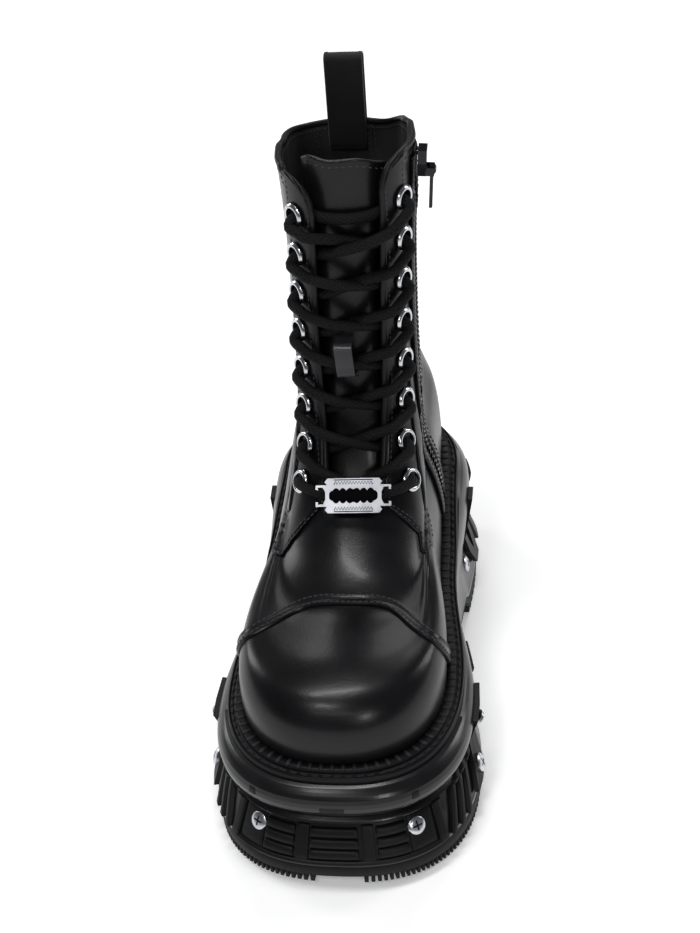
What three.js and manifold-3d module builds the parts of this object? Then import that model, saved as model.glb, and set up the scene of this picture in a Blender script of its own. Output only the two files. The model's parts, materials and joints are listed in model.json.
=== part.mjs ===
// A right platform boot: lace-up upper with a zip on its inner side, on a thick lugged sole.
// Millimetres. +Z up, the toe points along -Y, +X is the medial (zip) side.
// The origin is on the floor under the middle of the sole.

import * as THREE from 'three';
import { mergeVertices } from 'three/addons/utils/BufferGeometryUtils.js';
import Module from 'manifold-3d';

const wasm = await Module();
wasm.setup();
const { Manifold, Mesh: SolidMesh } = wasm;

// Gaps and fine sizes shared by many pieces
const GAP = 0.3;
const EXTRA = 12;

// Sole
const SOLE_LENGTH = 300;
const SOLE_WIDTH = 133;
const OUTSOLE_THICKNESS = 13;
const LUG_DEPTH = 5;
const LUG_GROOVE = 6;
const LUG_PITCH = 23;
const LUG_SLANT = 22;
const TOE_SPRING = 3.5;
const ARCH_RISE = 15;
const ARCH_FRONT = 4;
const ARCH_BACK = 52;
const ARCH_SHOULDER = 13;
const TOE_SEAT = 62;
const HEEL_SEAT = 84.5;
const FRONT_RIB_DEPTH = 2;
const FRONT_RIB_HEIGHT = 3.2;
const SIDE_PLATE_THICKNESS = 2.6;
const HEEL_RING_THICKNESS = 2.6;
const FIN_DEPTH = 3;

// Welt
const WELT_THICKNESS = 5;
const WELT_STEP = 2.2;
const WELT_BALL_WIDTH = 117;

// Screws
const SCREW_HEAD = 9.4;
const SCREW_HEAD_HEIGHT = 2.2;
const SCREW_RECESS = 1;
const SCREW_SIDES = 10;
const PLATE_SCREW_RECESS = 0.2;

// Upper
const UPPER_BALL_WIDTH = 100;
const COLLAR_BACK_HEIGHT = 277;
const WALL = 2.2;
const OVERLAY = 1.3;
const SHAFT_AXIS_Y = 70;
const FLAP_FRONT_Y = -26;
const FLAP_BACK_Y = 34;
const CAP_BAND_Y = -61;
const CAP_BAND_WIDTH = 6;
const THROAT_BACK_Y = 48;
const THROAT_WIDTH = 34;
const THROAT_FOOT_WIDTH = 29;
const THROAT_FOOT_HEIGHT = 126;
const THROAT_FOOT_ROUND = 5;
const THROAT_SHIFT = 2.8;
const THROAT_TOP_SHIFT = 5.5;
const COLLAR_CORNER = 15;
const COLLAR_CORNER_MEDIAL = 282;
const COLLAR_CORNER_LATERAL = 272;

// Lacing
const EYELET_ROWS = 8;
const EYELET_HALF_SPACING = 24.2;
const EYELET_FOOT_SPREAD = 2.6;
const EYELET_TILT = 2.6;
const EYELET_FOOT_HEIGHT = 131.6;
const EYELET_TOP_HEIGHT = 272.5;
const EYELET_DIAMETER = 12.6;
const EYELET_HOLE = 7.4;
const EYELET_RIM = 1.4;
const EYELET_SEAT = 0.85;
const EYELET_BARREL_WALL = 0.9;
const LACE_DIAMETER = 5.2;
const LACE_SIDES = 6;
const LACE_STEPS = 5;
const LACE_INNER_REACH = 10.5;

// Tongue, insole, keeper and loop
const TONGUE_THICKNESS = 2.4;
const TONGUE_TOP_REACH = 4;
const INSOLE_THICKNESS = 4;
const KEEPER_WIDTH = 9;
const KEEPER_THICKNESS = 1.4;
const KEEPER_SPAN = 27;
const KEEPER_ARCH = 8;
const LOOP_WIDTH = 20;
const LOOP_THICKNESS = 1.6;
const LOOP_RISE = 35;
const LOOP_TAIL = 16;
const LOOP_CENTRE_X = -4;

// Charm
const CHARM_WIDTH = 37.5;
const CHARM_BODY = 28.7;
const CHARM_HEIGHT = 17.4;
const CHARM_THICKNESS = 1.4;
const CHARM_SLOT = 21;
const CHARM_SLOT_HEIGHT = 6;

// Zip
const ZIP_WIDTH = 9;
const ZIP_THICKNESS = 1.4;
const ZIP_TOP = 293;
const ZIP_FOOT = 84;
const ZIP_TOP_Y = 49;
const ZIP_FOOT_Y = 44;
const SLIDER_LENGTH = 13.5;
const SLIDER_WIDTH = 9;
const SLIDER_HEIGHT = 4.2;
const SLIDER_TOP = 291;
const PIN_DIAMETER = 2;
const PULL_LENGTH = 19;
const PULL_WIDTH = 4.6;
const PULL_THICKNESS = 1.6;
const EYE_WALL = 0.9;
const CHEEK = 1;

const HALF_LENGTH = SOLE_LENGTH / 2;
const HALF_WIDTH = SOLE_WIDTH / 2;
const UPPER_HALF = UPPER_BALL_WIDTH / 2;
const SHAFT_RISE = COLLAR_BACK_HEIGHT - HEEL_SEAT;

const materials = {
  rubber: new THREE.MeshStandardMaterial({ color: 0x17171b, roughness: 0.62, metalness: 0 }),
  leather: new THREE.MeshStandardMaterial({ color: 0x111115, roughness: 0.42, metalness: 0 }),
  lining: new THREE.MeshStandardMaterial({ color: 0x1b1b20, roughness: 0.7, metalness: 0 }),
  webbing: new THREE.MeshStandardMaterial({ color: 0x0f0f12, roughness: 0.85, metalness: 0 }),
  steel: new THREE.MeshStandardMaterial({ color: 0xc9ccd2, roughness: 0.25, metalness: 1 }),
  blackMetal: new THREE.MeshStandardMaterial({ color: 0x1c1c20, roughness: 0.35, metalness: 0.9 }),
};

const boot = new THREE.Group();

// General helpers

function solidOf(geometry) {
  const bare = geometry.index ? geometry.toNonIndexed() : geometry.clone();
  bare.deleteAttribute('normal');
  bare.deleteAttribute('uv');
  const merged = mergeVertices(bare, 1e-4);
  const kept = [];
  const index = merged.index.array;
  for (let i = 0; i < index.length; i += 3) {
    const [a, b, c] = [index[i], index[i + 1], index[i + 2]];
    if (a !== b && b !== c && c !== a) kept.push(a, b, c);
  }
  return new Manifold(new SolidMesh({
    numProp: 3,
    vertProperties: new Float32Array(merged.attributes.position.array),
    triVerts: new Uint32Array(kept),
  }));
}

function geometryOf(solid) {
  const mesh = solid.getMesh();
  const geometry = new THREE.BufferGeometry();
  geometry.setAttribute('position', new THREE.BufferAttribute(new Float32Array(mesh.vertProperties), 3));
  geometry.setIndex(new THREE.BufferAttribute(new Uint32Array(mesh.triVerts), 1));
  return geometry;
}

function add(name, shape, material) {
  const geometry = shape.getMesh ? geometryOf(shape) : shape;
  const mesh = new THREE.Mesh(geometry, material);
  mesh.name = name;
  boot.add(mesh);
}

function lerp(a, b, share) {
  return a + (b - a) * share;
}

function ease(share) {
  const s = Math.min(Math.max(share, 0), 1);
  return s * s * (3 - 2 * s);
}

// Closed solid through rings of points. Each ring starts at the toe and runs round by the medial
// side to the heel and back, so its ends are closed by strips from side to side.
function loft(rings) {
  const count = rings[0].length;
  const points = rings.flat();
  const index = [];
  for (let r = 0; r + 1 < rings.length; r += 1) {
    for (let i = 0; i < count; i += 1) {
      const j = (i + 1) % count;
      const [a, b, c, d] = [r * count + i, r * count + j, (r + 1) * count + j, (r + 1) * count + i];
      index.push(a, b, c, a, c, d);
    }
  }
  for (const [start, flip] of [[0, true], [(rings.length - 1) * count, false]]) {
    for (let i = 0; i < count / 2; i += 1) {
      const [a, b] = [start + i, start + i + 1];
      const [c, d] = [start + count - i - 1, start + (count - i) % count];
      const quad = [[a, b, c], [a, c, d]];
      for (const [p, q, s] of quad) {
        if (p === q || q === s || s === p) continue;
        index.push(...(flip ? [p, s, q] : [p, q, s]));
      }
    }
  }
  return indexed(points, index);
}

// Closed tube of sections: a ring of profiles that closes on itself both ways
function torus(profiles) {
  const rows = profiles.length;
  const count = profiles[0].length;
  const index = [];
  for (let r = 0; r < rows; r += 1) {
    const next = (r + 1) % rows;
    for (let i = 0; i < count; i += 1) {
      const j = (i + 1) % count;
      const [a, b, c, d] = [r * count + i, r * count + j, next * count + j, next * count + i];
      index.push(a, b, c, a, c, d);
    }
  }
  return indexed(profiles.flat(), index);
}

// Closed slab between two grids of points of the same size
function slab(outer, inner) {
  const rows = outer.length;
  const count = outer[0].length;
  const shift = rows * count;
  const index = [];
  const at = (r, i) => r * count + i;
  for (let r = 0; r + 1 < rows; r += 1) {
    for (let i = 0; i + 1 < count; i += 1) {
      const [a, b, c, d] = [at(r, i), at(r, i + 1), at(r + 1, i + 1), at(r + 1, i)];
      index.push(a, b, c, a, c, d);
      index.push(a + shift, c + shift, b + shift, a + shift, d + shift, c + shift);
    }
  }
  const rim = [];
  for (let i = 0; i + 1 < count; i += 1) rim.push(at(0, i));
  for (let r = 0; r + 1 < rows; r += 1) rim.push(at(r, count - 1));
  for (let i = count - 1; i > 0; i -= 1) rim.push(at(rows - 1, i));
  for (let r = rows - 1; r > 0; r -= 1) rim.push(at(r, 0));
  rim.forEach((a, i) => {
    const b = rim[(i + 1) % rim.length];
    index.push(b, a, a + shift, b, a + shift, b + shift);
  });
  return indexed([...outer.flat(), ...inner.flat()], index);
}

function indexed(points, index) {
  const geometry = new THREE.BufferGeometry();
  const flat = new Float32Array(points.length * 3);
  points.forEach((p, i) => p.toArray(flat, i * 3));
  geometry.setAttribute('position', new THREE.BufferAttribute(flat, 3));
  geometry.setIndex(index);
  return facingOut(geometry);
}

// Turns every face round when the closed shape holds a negative volume
function facingOut(geometry) {
  const p = geometry.attributes.position;
  const index = Array.from(geometry.index.array);
  const [a, b, c] = [new THREE.Vector3(), new THREE.Vector3(), new THREE.Vector3()];
  let volume = 0;
  for (let i = 0; i < index.length; i += 3) {
    a.fromBufferAttribute(p, index[i]);
    b.fromBufferAttribute(p, index[i + 1]);
    c.fromBufferAttribute(p, index[i + 2]);
    volume += a.dot(b.cross(c));
  }
  if (volume < 0) {
    for (let i = 0; i < index.length; i += 3) [index[i + 1], index[i + 2]] = [index[i + 2], index[i + 1]];
    geometry.setIndex(index);
  }
  return geometry;
}

function prism(shape, depth, steps = 6) {
  return new THREE.ExtrudeGeometry(shape, { depth, bevelEnabled: false, curveSegments: steps });
}

// A prism of a front view (x, z), running back along +Y from y
function frontPrism(shape, y, depth) {
  return solidOf(prism(shape, depth).rotateX(Math.PI / 2).translate(0, y + depth, 0));
}

// A prism of a side view (y, z), running along +X from x
function sidePrism(shape, x, depth) {
  const turned = prism(shape, depth).rotateX(Math.PI / 2).rotateZ(Math.PI / 2);
  return solidOf(turned.translate(x, 0, 0));
}

// Outline from pairs, turned anticlockwise so that holes in it face the right way
function shapeOf(pairs) {
  const points = pairs.map(([u, v]) => new THREE.Vector2(u, v));
  return new THREE.Shape(THREE.ShapeUtils.isClockWise(points) ? points.reverse() : points);
}

// A turned piece from a closed profile of radius and height, with its axis along +Z
function lathed(profile, sides) {
  const turned = new THREE.LatheGeometry(profile.map(([r, h]) => new THREE.Vector2(r, h)), sides);
  turned.rotateX(Math.PI / 2).deleteAttribute('normal');
  turned.deleteAttribute('uv');
  return geometryOf(solidOf(facingOut(mergeVertices(turned, 1e-4))));
}

// A solid set on a point with its own +Z along a normal and its own +Y as near as can be to up
function frameAt(point, normal, up = new THREE.Vector3(0, 0, 1)) {
  const side = new THREE.Vector3().crossVectors(up, normal).normalize();
  const rise = new THREE.Vector3().crossVectors(normal, side);
  return new THREE.Matrix4().makeBasis(side, rise, normal).setPosition(point);
}

// Plan outlines of the sole

// Half widths are shares of each outline's own half ball width, reaches are shares of half the sole
const OUTLINES = {
  tread: {
    front: -1, back: 1, ball: 1, waist: 0.79, heel: 0.885, nose: 0.5, rear: 0.42, toeForm: 2.5, heelForm: 2.4,
  },
  welt: {
    front: -0.927, back: 0.94, ball: 1, waist: 0.885, heel: 0.85, nose: 0.5, rear: 0.38,
    toeForm: 2.5, heelForm: 2.2,
  },
};
const NOSE_PART = 0.19;
const REAR_PART = 0.34;

// One closed plan loop: a rounded nose, two eased side stretches and a rounded rear.
// turn runs from 0 at the toe by the medial side to 0.5 at the heel and on to 1.
function planPoint(row, turn, halfWidth) {
  const side = turn <= 0.5 ? 1 : -1;
  const part = turn <= 0.5 ? turn : 1 - turn;
  const noseEnd = (row.front + row.nose) * HALF_LENGTH;
  const rearStart = (row.back - row.rear) * HALF_LENGTH;
  let width;
  let y;
  if (part < NOSE_PART) {
    const angle = (part / NOSE_PART) * Math.PI / 2;
    width = row.ball * Math.sin(angle) ** (2 / row.toeForm);
    y = noseEnd - row.nose * HALF_LENGTH * Math.cos(angle) ** (2 / row.toeForm);
  } else if (part < REAR_PART) {
    const share = (part - NOSE_PART) / (REAR_PART - NOSE_PART);
    width = share < 0.5
      ? lerp(row.ball, row.waist, ease(share * 2))
      : lerp(row.waist, row.heel, ease(share * 2 - 1));
    y = lerp(noseEnd, rearStart, share);
  } else {
    const angle = ((part - REAR_PART) / (0.5 - REAR_PART)) * Math.PI / 2;
    const back = Math.max(Math.cos(angle), 0);
    width = row.heel * back ** (2 / row.heelForm);
    y = rearStart + row.rear * HALF_LENGTH * Math.sin(angle) ** (2 / row.heelForm);
  }
  return new THREE.Vector2(side * width * halfWidth, y);
}

// Height line on which the upper sits, as shares of the rise from toe seat to heel seat
const SEAT_LINE = [
  { at: -1.0, rise: 0.10 },
  { at: -0.75, rise: 0.02 },
  { at: -0.45, rise: -0.03 },
  { at: -0.1, rise: 0.07 },
  { at: 0.17, rise: 0.33 },
  { at: 0.45, rise: 0.75 },
  { at: 0.7, rise: 0.96 },
  { at: 1.0, rise: 1.0 },
];

function seatHeight(y) {
  const at = y / HALF_LENGTH;
  let k = SEAT_LINE.findIndex((row) => row.at > at) - 1;
  if (k < 0) k = at < 0 ? 0 : SEAT_LINE.length - 2;
  const [low, high] = [SEAT_LINE[k], SEAT_LINE[k + 1]];
  const share = (at - low.at) / (high.at - low.at);
  const rise = lerp(low.rise, high.rise, ease(share) * 0.5 + share * 0.5);
  return TOE_SEAT + (HEEL_SEAT - TOE_SEAT) * rise;
}

function archShare(y) {
  return ease((y - ARCH_FRONT) / ARCH_SHOULDER) * ease((ARCH_BACK - y) / ARCH_SHOULDER);
}

// Share of the sole's half length, ahead of its middle, at which the toe spring starts
const SPRING_START = 0.66;

// Underside of the sole: toe spring in front, arch between forefoot and heel
function floorHeight(y) {
  const start = SPRING_START * HALF_LENGTH;
  const spring = Math.max(0, (-y - start) / (HALF_LENGTH - start));
  return TOE_SPRING * spring ** 2 + ARCH_RISE * archShare(y);
}

// Joint face between outsole and platform
function jointHeight(y) {
  return OUTSOLE_THICKNESS + floorHeight(y) / 2;
}

const SOLE_SEGMENTS = 36;
const JOINT_STATIONS = 16;

function turns(count) {
  return Array.from({ length: count }, (_, i) => i / count);
}

function treadPoint(turn, inset = 0) {
  return insetPoint((t) => planPoint(OUTLINES.tread, t, HALF_WIDTH), turn, inset);
}

function weltPoint(turn, inset = 0) {
  return insetPoint((t) => planPoint(OUTLINES.welt, t, WELT_BALL_WIDTH / 2), turn, inset);
}

function insetPoint(outline, turn, inset) {
  const here = outline(turn);
  if (inset === 0) return here;
  const step = 0.004;
  const along = outline((turn + step) % 1).sub(outline((turn + 1 - step) % 1)).normalize();
  return here.add(new THREE.Vector2(-along.y, along.x).multiplyScalar(inset));
}

// A block over or under a height line, as wide as the boot, that cuts two pieces to one joint face
function blockAt(heightAt, reach) {
  const ends = HALF_LENGTH + EXTRA;
  const even = Array.from({ length: JOINT_STATIONS + 1 }, (_, i) => lerp(-ends, ends, i / JOINT_STATIONS));
  const clear = even.filter((y) => y < ARCH_FRONT - EXTRA / 2 || y > ARCH_BACK + EXTRA / 2);
  const arch = [0, 0.35, 0.7, 1].flatMap((share) => [
    ARCH_FRONT + share * ARCH_SHOULDER, ARCH_BACK - share * ARCH_SHOULDER,
  ]);
  const line = [...clear, ...arch].sort((a, b) => a - b).map((y) => [y, heightAt(y)]);
  const far = line.map(([y, z]) => [y, z + reach]).reverse();
  return sidePrism(shapeOf([...line, ...far]), -SOLE_WIDTH, 2 * SOLE_WIDTH);
}

function bedHeight(y) {
  return seatHeight(y) - WELT_THICKNESS;
}

// Sole pieces

// Side of the outsole from floor to joint: height share and inset
const OUTSOLE_SIDE = [
  { rise: 0, inset: 2.2 },
  { rise: 0.25, inset: 0 },
  { rise: 0.8, inset: 0 },
  { rise: 1, inset: 1.4 },
];

function outsole() {
  const rings = OUTSOLE_SIDE.map(({ rise, inset }) => turns(SOLE_SEGMENTS).map((turn) => {
    const p = treadPoint(turn, inset);
    return new THREE.Vector3(p.x, p.y, lerp(floorHeight(p.y), jointHeight(p.y), rise));
  }));
  rings.unshift(rings[0].map((p) => p.clone().setZ(p.z - ARCH_RISE)));
  rings.push(rings[rings.length - 1].map((p) => p.clone().setZ(p.z + EXTRA)));
  let solid = solidOf(loft(rings)).subtract(blockAt(jointHeight, 2 * EXTRA));
  solid = solid.subtract(blockAt(floorHeight, -3 * EXTRA));
  for (const groove of treadGrooves()) solid = solid.subtract(groove);
  return solid;
}

// Slanted cross grooves and one long middle groove leave the lugs standing
function treadGrooves() {
  const grooves = [];
  const half = HALF_WIDTH + EXTRA;
  const runs = [
    { from: -HALF_LENGTH + LUG_PITCH, to: ARCH_FRONT - LUG_PITCH / 2 },
    { from: ARCH_BACK + LUG_PITCH, to: HALF_LENGTH - LUG_PITCH },
  ];
  for (const { from, to } of runs) {
    for (let y = from; y <= to; y += LUG_PITCH) {
      for (const side of [-1, 1]) {
        const bar = new THREE.BoxGeometry(half, LUG_GROOVE, LUG_DEPTH * 2);
        bar.translate(half / 2 + LUG_GROOVE, 0, 0).rotateZ(THREE.MathUtils.degToRad(-LUG_SLANT));
        if (side < 0) bar.rotateY(Math.PI);
        grooves.push(solidOf(bar.translate(0, y, 0)));
      }
    }
  }
  const front = new THREE.BoxGeometry(LUG_GROOVE * 1.4, HALF_LENGTH, LUG_DEPTH * 2);
  grooves.push(solidOf(front.translate(0, ARCH_FRONT - LUG_PITCH - HALF_LENGTH / 2, 0)));
  const notch = new THREE.CylinderGeometry(LUG_GROOVE, LUG_GROOVE, LUG_PITCH, 4);
  grooves.push(solidOf(notch.translate(0, -HALF_LENGTH, 0)));
  return grooves;
}

// Side of the platform: height share, share of the way from tread outline to welt outline
const PLATFORM_SIDE = [
  { rise: 0, inward: 0.0 },
  { rise: 0.05, inward: 0.0 },
  { rise: 0.46, inward: 0.92 },
  { rise: 0.53, inward: 0.62 },
  { rise: 0.6, inward: 0.82 },
  { rise: 0.7, inward: 0.48 },
  { rise: 0.82, inward: 0.34 },
  { rise: 0.93, inward: 0.55 },
  { rise: 1, inward: 0.85 },
];

function platformRise(rise, y) {
  return lerp(jointHeight(y), seatHeight(y) - WELT_THICKNESS, rise);
}

function inwardAt(rise) {
  const k = Math.max(1, PLATFORM_SIDE.findIndex((row) => row.rise >= rise));
  const [low, high] = [PLATFORM_SIDE[k - 1], PLATFORM_SIDE[k]];
  return lerp(low.inward, high.inward, (rise - low.rise) / (high.rise - low.rise));
}

// A point on the platform's side, set out from it by some millimetres
function platformPoint(turn, rise, out = 0) {
  const inward = inwardAt(rise);
  const p = treadPoint(turn, -out).lerp(weltPoint(turn, -out), inward);
  return new THREE.Vector3(p.x, p.y, platformRise(rise, p.y));
}

// A raised piece that follows the platform's side between two turns and two height shares
function sidePad({ from, to, low, high, inner, outer, lean = 0, waist = 0, steps = 4, rows = 1 }) {
  const grid = (out) => Array.from({ length: rows + 1 }, (_, r) => {
    const share = r / rows;
    const pinch = waist * (1 - (2 * share - 1) ** 2);
    return Array.from({ length: steps + 1 }, (__, i) => {
      const turn = lerp(from + pinch, to - pinch, i / steps) + lean * share;
      return platformPoint((turn + 1) % 1, lerp(low, high, share), out);
    });
  });
  return slab(grid(outer), grid(inner));
}

// Where each front rib group and fin lies: turn range on the medial side and height shares
const FRONT_RIBS = [
  { from: -0.017, to: 0.017, low: 0.1, rows: 3, pitch: 0.115 },
  { from: 0.029, to: 0.053, low: 0.1, rows: 3, pitch: 0.115 },
];
const SIDE_FINS = [
  { from: 0.104, low: 0.06, high: 0.44 },
  { from: 0.118, low: 0.06, high: 0.44 },
  { from: 0.132, low: 0.06, high: 0.44 },
];
const FIN_WIDTH = 0.007;
const FIN_LEAN = 0.018;
const BLOCKS = [
  { from: 0.21, to: 0.235, low: 0.05, high: 0.44 },
  { from: 0.355, to: 0.385, low: 0.05, high: 0.44 },
  { from: 0.4, to: 0.43, low: 0.05, high: 0.44 },
  { from: 0.445, to: 0.475, low: 0.05, high: 0.44 },
];

const SIDE_PLATE = { from: 0.155, to: 0.183, low: 0.08, high: 0.84, waist: 0.004, lean: 0.018 };
const HEEL_RING = { from: 0.329, to: 0.339, low: 0.1, high: 0.84, waist: -0.006, lean: 0 };
const HEEL_RING_HOLE = { from: 0.333, to: 0.335, low: 0.22, high: 0.72, waist: -0.003, lean: 0 };
const PAD_ROWS = 4;
const POCKET_MARGIN = 0.001;

// A pad of a side's own range on the medial (1) or lateral (-1) side
function mirroredPad(spec, side, depths) {
  const { from, to, low, high, waist, lean } = spec;
  const [a, b] = side > 0 ? [from, to] : [1 - to, 1 - from];
  const pad = { from: a, to: b, low, high, waist, lean: side * lean, steps: 2, rows: PAD_ROWS };
  return solidOf(sidePad({ ...pad, ...depths }));
}

function sidePlate(side) {
  const plate = mirroredPad(SIDE_PLATE, side, { inner: GAP, outer: GAP + SIDE_PLATE_THICKNESS });
  const held = SCREWS.filter(({ on }) => on === 'plate');
  return held.reduce((solid, spec) => solid.subtract(screwPocket(spec, side)), plate);
}

function heelRing(side) {
  const ring = mirroredPad(HEEL_RING, side, { inner: GAP, outer: GAP + HEEL_RING_THICKNESS });
  return ring.subtract(mirroredPad(HEEL_RING_HOLE, side, { inner: -EXTRA / 2, outer: EXTRA }));
}

// Screws: where each lies on a side, and whether it holds a plate or the wall itself
const SCREWS = [
  { name: 'front', on: 'wall', turn: 0.069, rise: 0.3 },
  { name: 'side_upper', on: 'plate', turn: 0.183, rise: 0.66 },
  { name: 'side_lower', on: 'plate', turn: 0.172, rise: 0.21 },
  { name: 'heel', on: 'wall', turn: 0.3165, rise: 0.25 },
];

function screw() {
  const r = SCREW_HEAD / 2;
  const profile = [
    [0, 0], [r, 0], [r, SCREW_HEAD_HEIGHT * 0.5], [r * 0.7, SCREW_HEAD_HEIGHT], [0, SCREW_HEAD_HEIGHT],
  ];
  return lathed(profile, SCREW_SIDES);
}

// Place and outward direction of a screw, sunk a little into its plate or wall
function screwFrame({ on, turn, rise }, side) {
  const out = on === 'plate' ? GAP + SIDE_PLATE_THICKNESS - PLATE_SCREW_RECESS : -SCREW_RECESS;
  const at = side > 0 ? turn : 1 - turn;
  const d = 0.004;
  const along = platformPoint(at + d, rise, out).sub(platformPoint(at - d, rise, out));
  const up = platformPoint(at, rise + 0.03, out).sub(platformPoint(at, rise - 0.03, out));
  return frameAt(platformPoint(at, rise, out), along.cross(up).normalize());
}

function screwPocket(spec, side) {
  const radius = SCREW_HEAD / 2 + GAP;
  const bore = new THREE.CylinderGeometry(radius, radius, EXTRA, SCREW_SIDES).rotateX(Math.PI / 2);
  return solidOf(bore.translate(0, 0, EXTRA / 2 - GAP).applyMatrix4(screwFrame(spec, side)));
}

function platform() {
  const loop = turns(SOLE_SEGMENTS);
  const rings = PLATFORM_SIDE.map(({ rise }) => loop.map((turn) => platformPoint(turn, rise)));
  rings.unshift(rings[0].map((p) => p.clone().setZ(p.z - EXTRA / 2)));
  rings.push(rings[rings.length - 1].map((p) => p.clone().setZ(p.z + EXTRA / 2)));
  let solid = solidOf(loft(rings));
  const ribHeight = FRONT_RIB_HEIGHT / (TOE_SEAT - WELT_THICKNESS - OUTSOLE_THICKNESS);
  const depths = { inner: -FIN_DEPTH, outer: FRONT_RIB_DEPTH };
  for (const { from, to, low, rows, pitch } of FRONT_RIBS) {
    const sides = from < 0 ? [[from, to]] : [[from, to], [1 - to, 1 - from]];
    for (const [a, b] of sides) {
      for (let r = 0; r < rows; r += 1) {
        const start = low + r * pitch;
        const rib = sidePad({ from: a, to: b, low: start, high: start + ribHeight, steps: 3, ...depths });
        solid = solid.add(solidOf(rib));
      }
    }
  }
  for (const { from, low, high } of SIDE_FINS) {
    for (const side of [1, -1]) {
      const [a, b] = side > 0 ? [from, from + FIN_WIDTH] : [1 - from - FIN_WIDTH, 1 - from];
      const fin = sidePad({ from: a, to: b, low, high, steps: 1, rows: 2, lean: side * FIN_LEAN, ...depths });
      solid = solid.add(solidOf(fin));
    }
  }
  for (const { from, to, low, high } of BLOCKS) {
    for (const [a, b] of [[from, to], [1 - to, 1 - from]]) {
      const block = sidePad({ from: a, to: b, low, high, steps: 2, rows: 2, ...depths });
      solid = solid.add(solidOf(block));
    }
  }
  for (const side of [1, -1]) {
    for (const spec of [SIDE_PLATE, HEEL_RING]) {
      const pocket = { ...spec, from: spec.from - POCKET_MARGIN, to: spec.to + POCKET_MARGIN };
      solid = solid.subtract(mirroredPad(pocket, side, { inner: 0, outer: EXTRA / 2 }));
    }
  }
  for (const spec of SCREWS.filter(({ on }) => on === 'wall')) {
    solid = solid.subtract(screwPocket(spec, 1)).subtract(screwPocket(spec, -1));
  }
  solid = solid.subtract(blockAt((y) => jointHeight(y) + GAP, -2 * EXTRA));
  return solid.subtract(blockAt(bedHeight, 2 * EXTRA));
}

// Welt section: share of the way from the welt's edge to the upper, height over the seat
const WELT_SECTION = [
  { inward: 0, height: -WELT_THICKNESS - EXTRA / 4 },
  { inward: 0, height: -1.2 },
  { inward: 0.40, height: -0.9 },
  { inward: 0.46, height: WELT_STEP - 0.7 },
  { inward: 1.3, height: WELT_STEP - 0.4 },
  { inward: 1.3, height: -WELT_THICKNESS - EXTRA / 4 },
];

function welt() {
  const profiles = WELT_SECTION.map(({ inward, height }) => turns(SOLE_SEGMENTS).map((turn) => {
    const foot = upperPoint(0, turn);
    const p = weltPoint(turn).lerp(new THREE.Vector2(foot.x, foot.y), inward);
    return new THREE.Vector3(p.x, p.y, seatHeight(p.y) + height);
  }));
  const ring = solidOf(torus(profiles)).subtract(upperForm(GAP, { below: 2 * EXTRA, above: 0 }));
  return ring.subtract(blockAt((y) => bedHeight(y) + GAP, -2 * EXTRA));
}

// The upper's form

// Loops of the upper from the feather edge to the collar. front, back, nose and rear are shares of
// half the sole, rises and dip are shares of the shaft's rise, widths are shares of half its ball
// width. spin is the shaft's turn in degrees and tilt the millimetres that its medial side gains.
const LOOP_KEYS = [
  'front', 'frontRise', 'back', 'backRise', 'ball', 'waist', 'heel', 'nose', 'rear', 'dip', 'spin', 'tilt',
];
const UPPER_LOOPS = [
  [-0.877, 0, 0.877, 0, 0.998, 0.87, 0.80, 0.40, 0.27, 0, 0, 0],
  [-0.887, 0.067, 0.886, 0.073, 1.01, 0.87, 0.81, 0.41, 0.27, 0, 0, 0],
  [-0.866, 0.13, 0.89, 0.13, 1.0, 0.84, 0.80, 0.41, 0.27, 0.002, 0, 0],
  [-0.807, 0.18, 0.887, 0.19, 0.94, 0.79, 0.78, 0.39, 0.27, 0.01, 0, 0],
  [-0.707, 0.205, 0.882, 0.25, 0.84, 0.75, 0.74, 0.36, 0.26, 0.026, 0, 0],
  [-0.58, 0.214, 0.875, 0.30, 0.75, 0.71, 0.68, 0.32, 0.25, 0.032, 0.4, 0],
  [-0.433, 0.222, 0.867, 0.35, 0.69, 0.676, 0.63, 0.30, 0.25, 0.036, 1, 0],
  [-0.267, 0.262, 0.857, 0.40, 0.66, 0.64, 0.60, 0.28, 0.25, 0.036, 1.8, 0],
  [-0.122, 0.335, 0.845, 0.455, 0.63, 0.62, 0.59, 0.27, 0.25, 0.022, 2.3, 0],
  [-0.012, 0.435, 0.83, 0.515, 0.615, 0.62, 0.585, 0.26, 0.25, 0.012, 2.5, 0.3],
  [0.048, 0.55, 0.812, 0.583, 0.61, 0.62, 0.585, 0.26, 0.25, 0, 2.7, 0.8],
  [0.075, 0.694, 0.80, 0.666, 0.61, 0.62, 0.585, 0.26, 0.25, 0, 3.2, 1.4],
  [0.088, 0.876, 0.797, 0.78, 0.615, 0.625, 0.59, 0.26, 0.25, 0, 4.5, 2.1],
  [0.092, 1.02, 0.797, 0.89, 0.63, 0.635, 0.6, 0.26, 0.25, 0, 6, 2.8],
  [0.095, 1.19, 0.80, 1.0, 0.66, 0.66, 0.62, 0.26, 0.25, 0, 7, 3.4],
].map((values) => Object.fromEntries(LOOP_KEYS.map((key, i) => [key, values[i]])));
const TOP_LOOP = UPPER_LOOPS.length - 1;
const UPPER_SEGMENTS = 30;

function spline(a, b, c, d, share) {
  const s2 = share * share;
  const s3 = s2 * share;
  return 0.5 * (2 * b + (c - a) * share + (2 * a - 5 * b + 4 * c - d) * s2 + (3 * b - a - 3 * c + d) * s3);
}

// Loop values between two rows
function loopAt(level) {
  const t = Math.min(Math.max(level, 0), TOP_LOOP);
  const k = Math.min(Math.floor(t), TOP_LOOP - 1);
  const pick = (i) => UPPER_LOOPS[Math.min(Math.max(i, 0), TOP_LOOP)];
  const row = { toeForm: 2.3, heelForm: 2.2 };
  for (const key of LOOP_KEYS) {
    row[key] = spline(pick(k - 1)[key], pick(k)[key], pick(k + 1)[key], pick(k + 2)[key], t - k);
  }
  return row;
}

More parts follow.
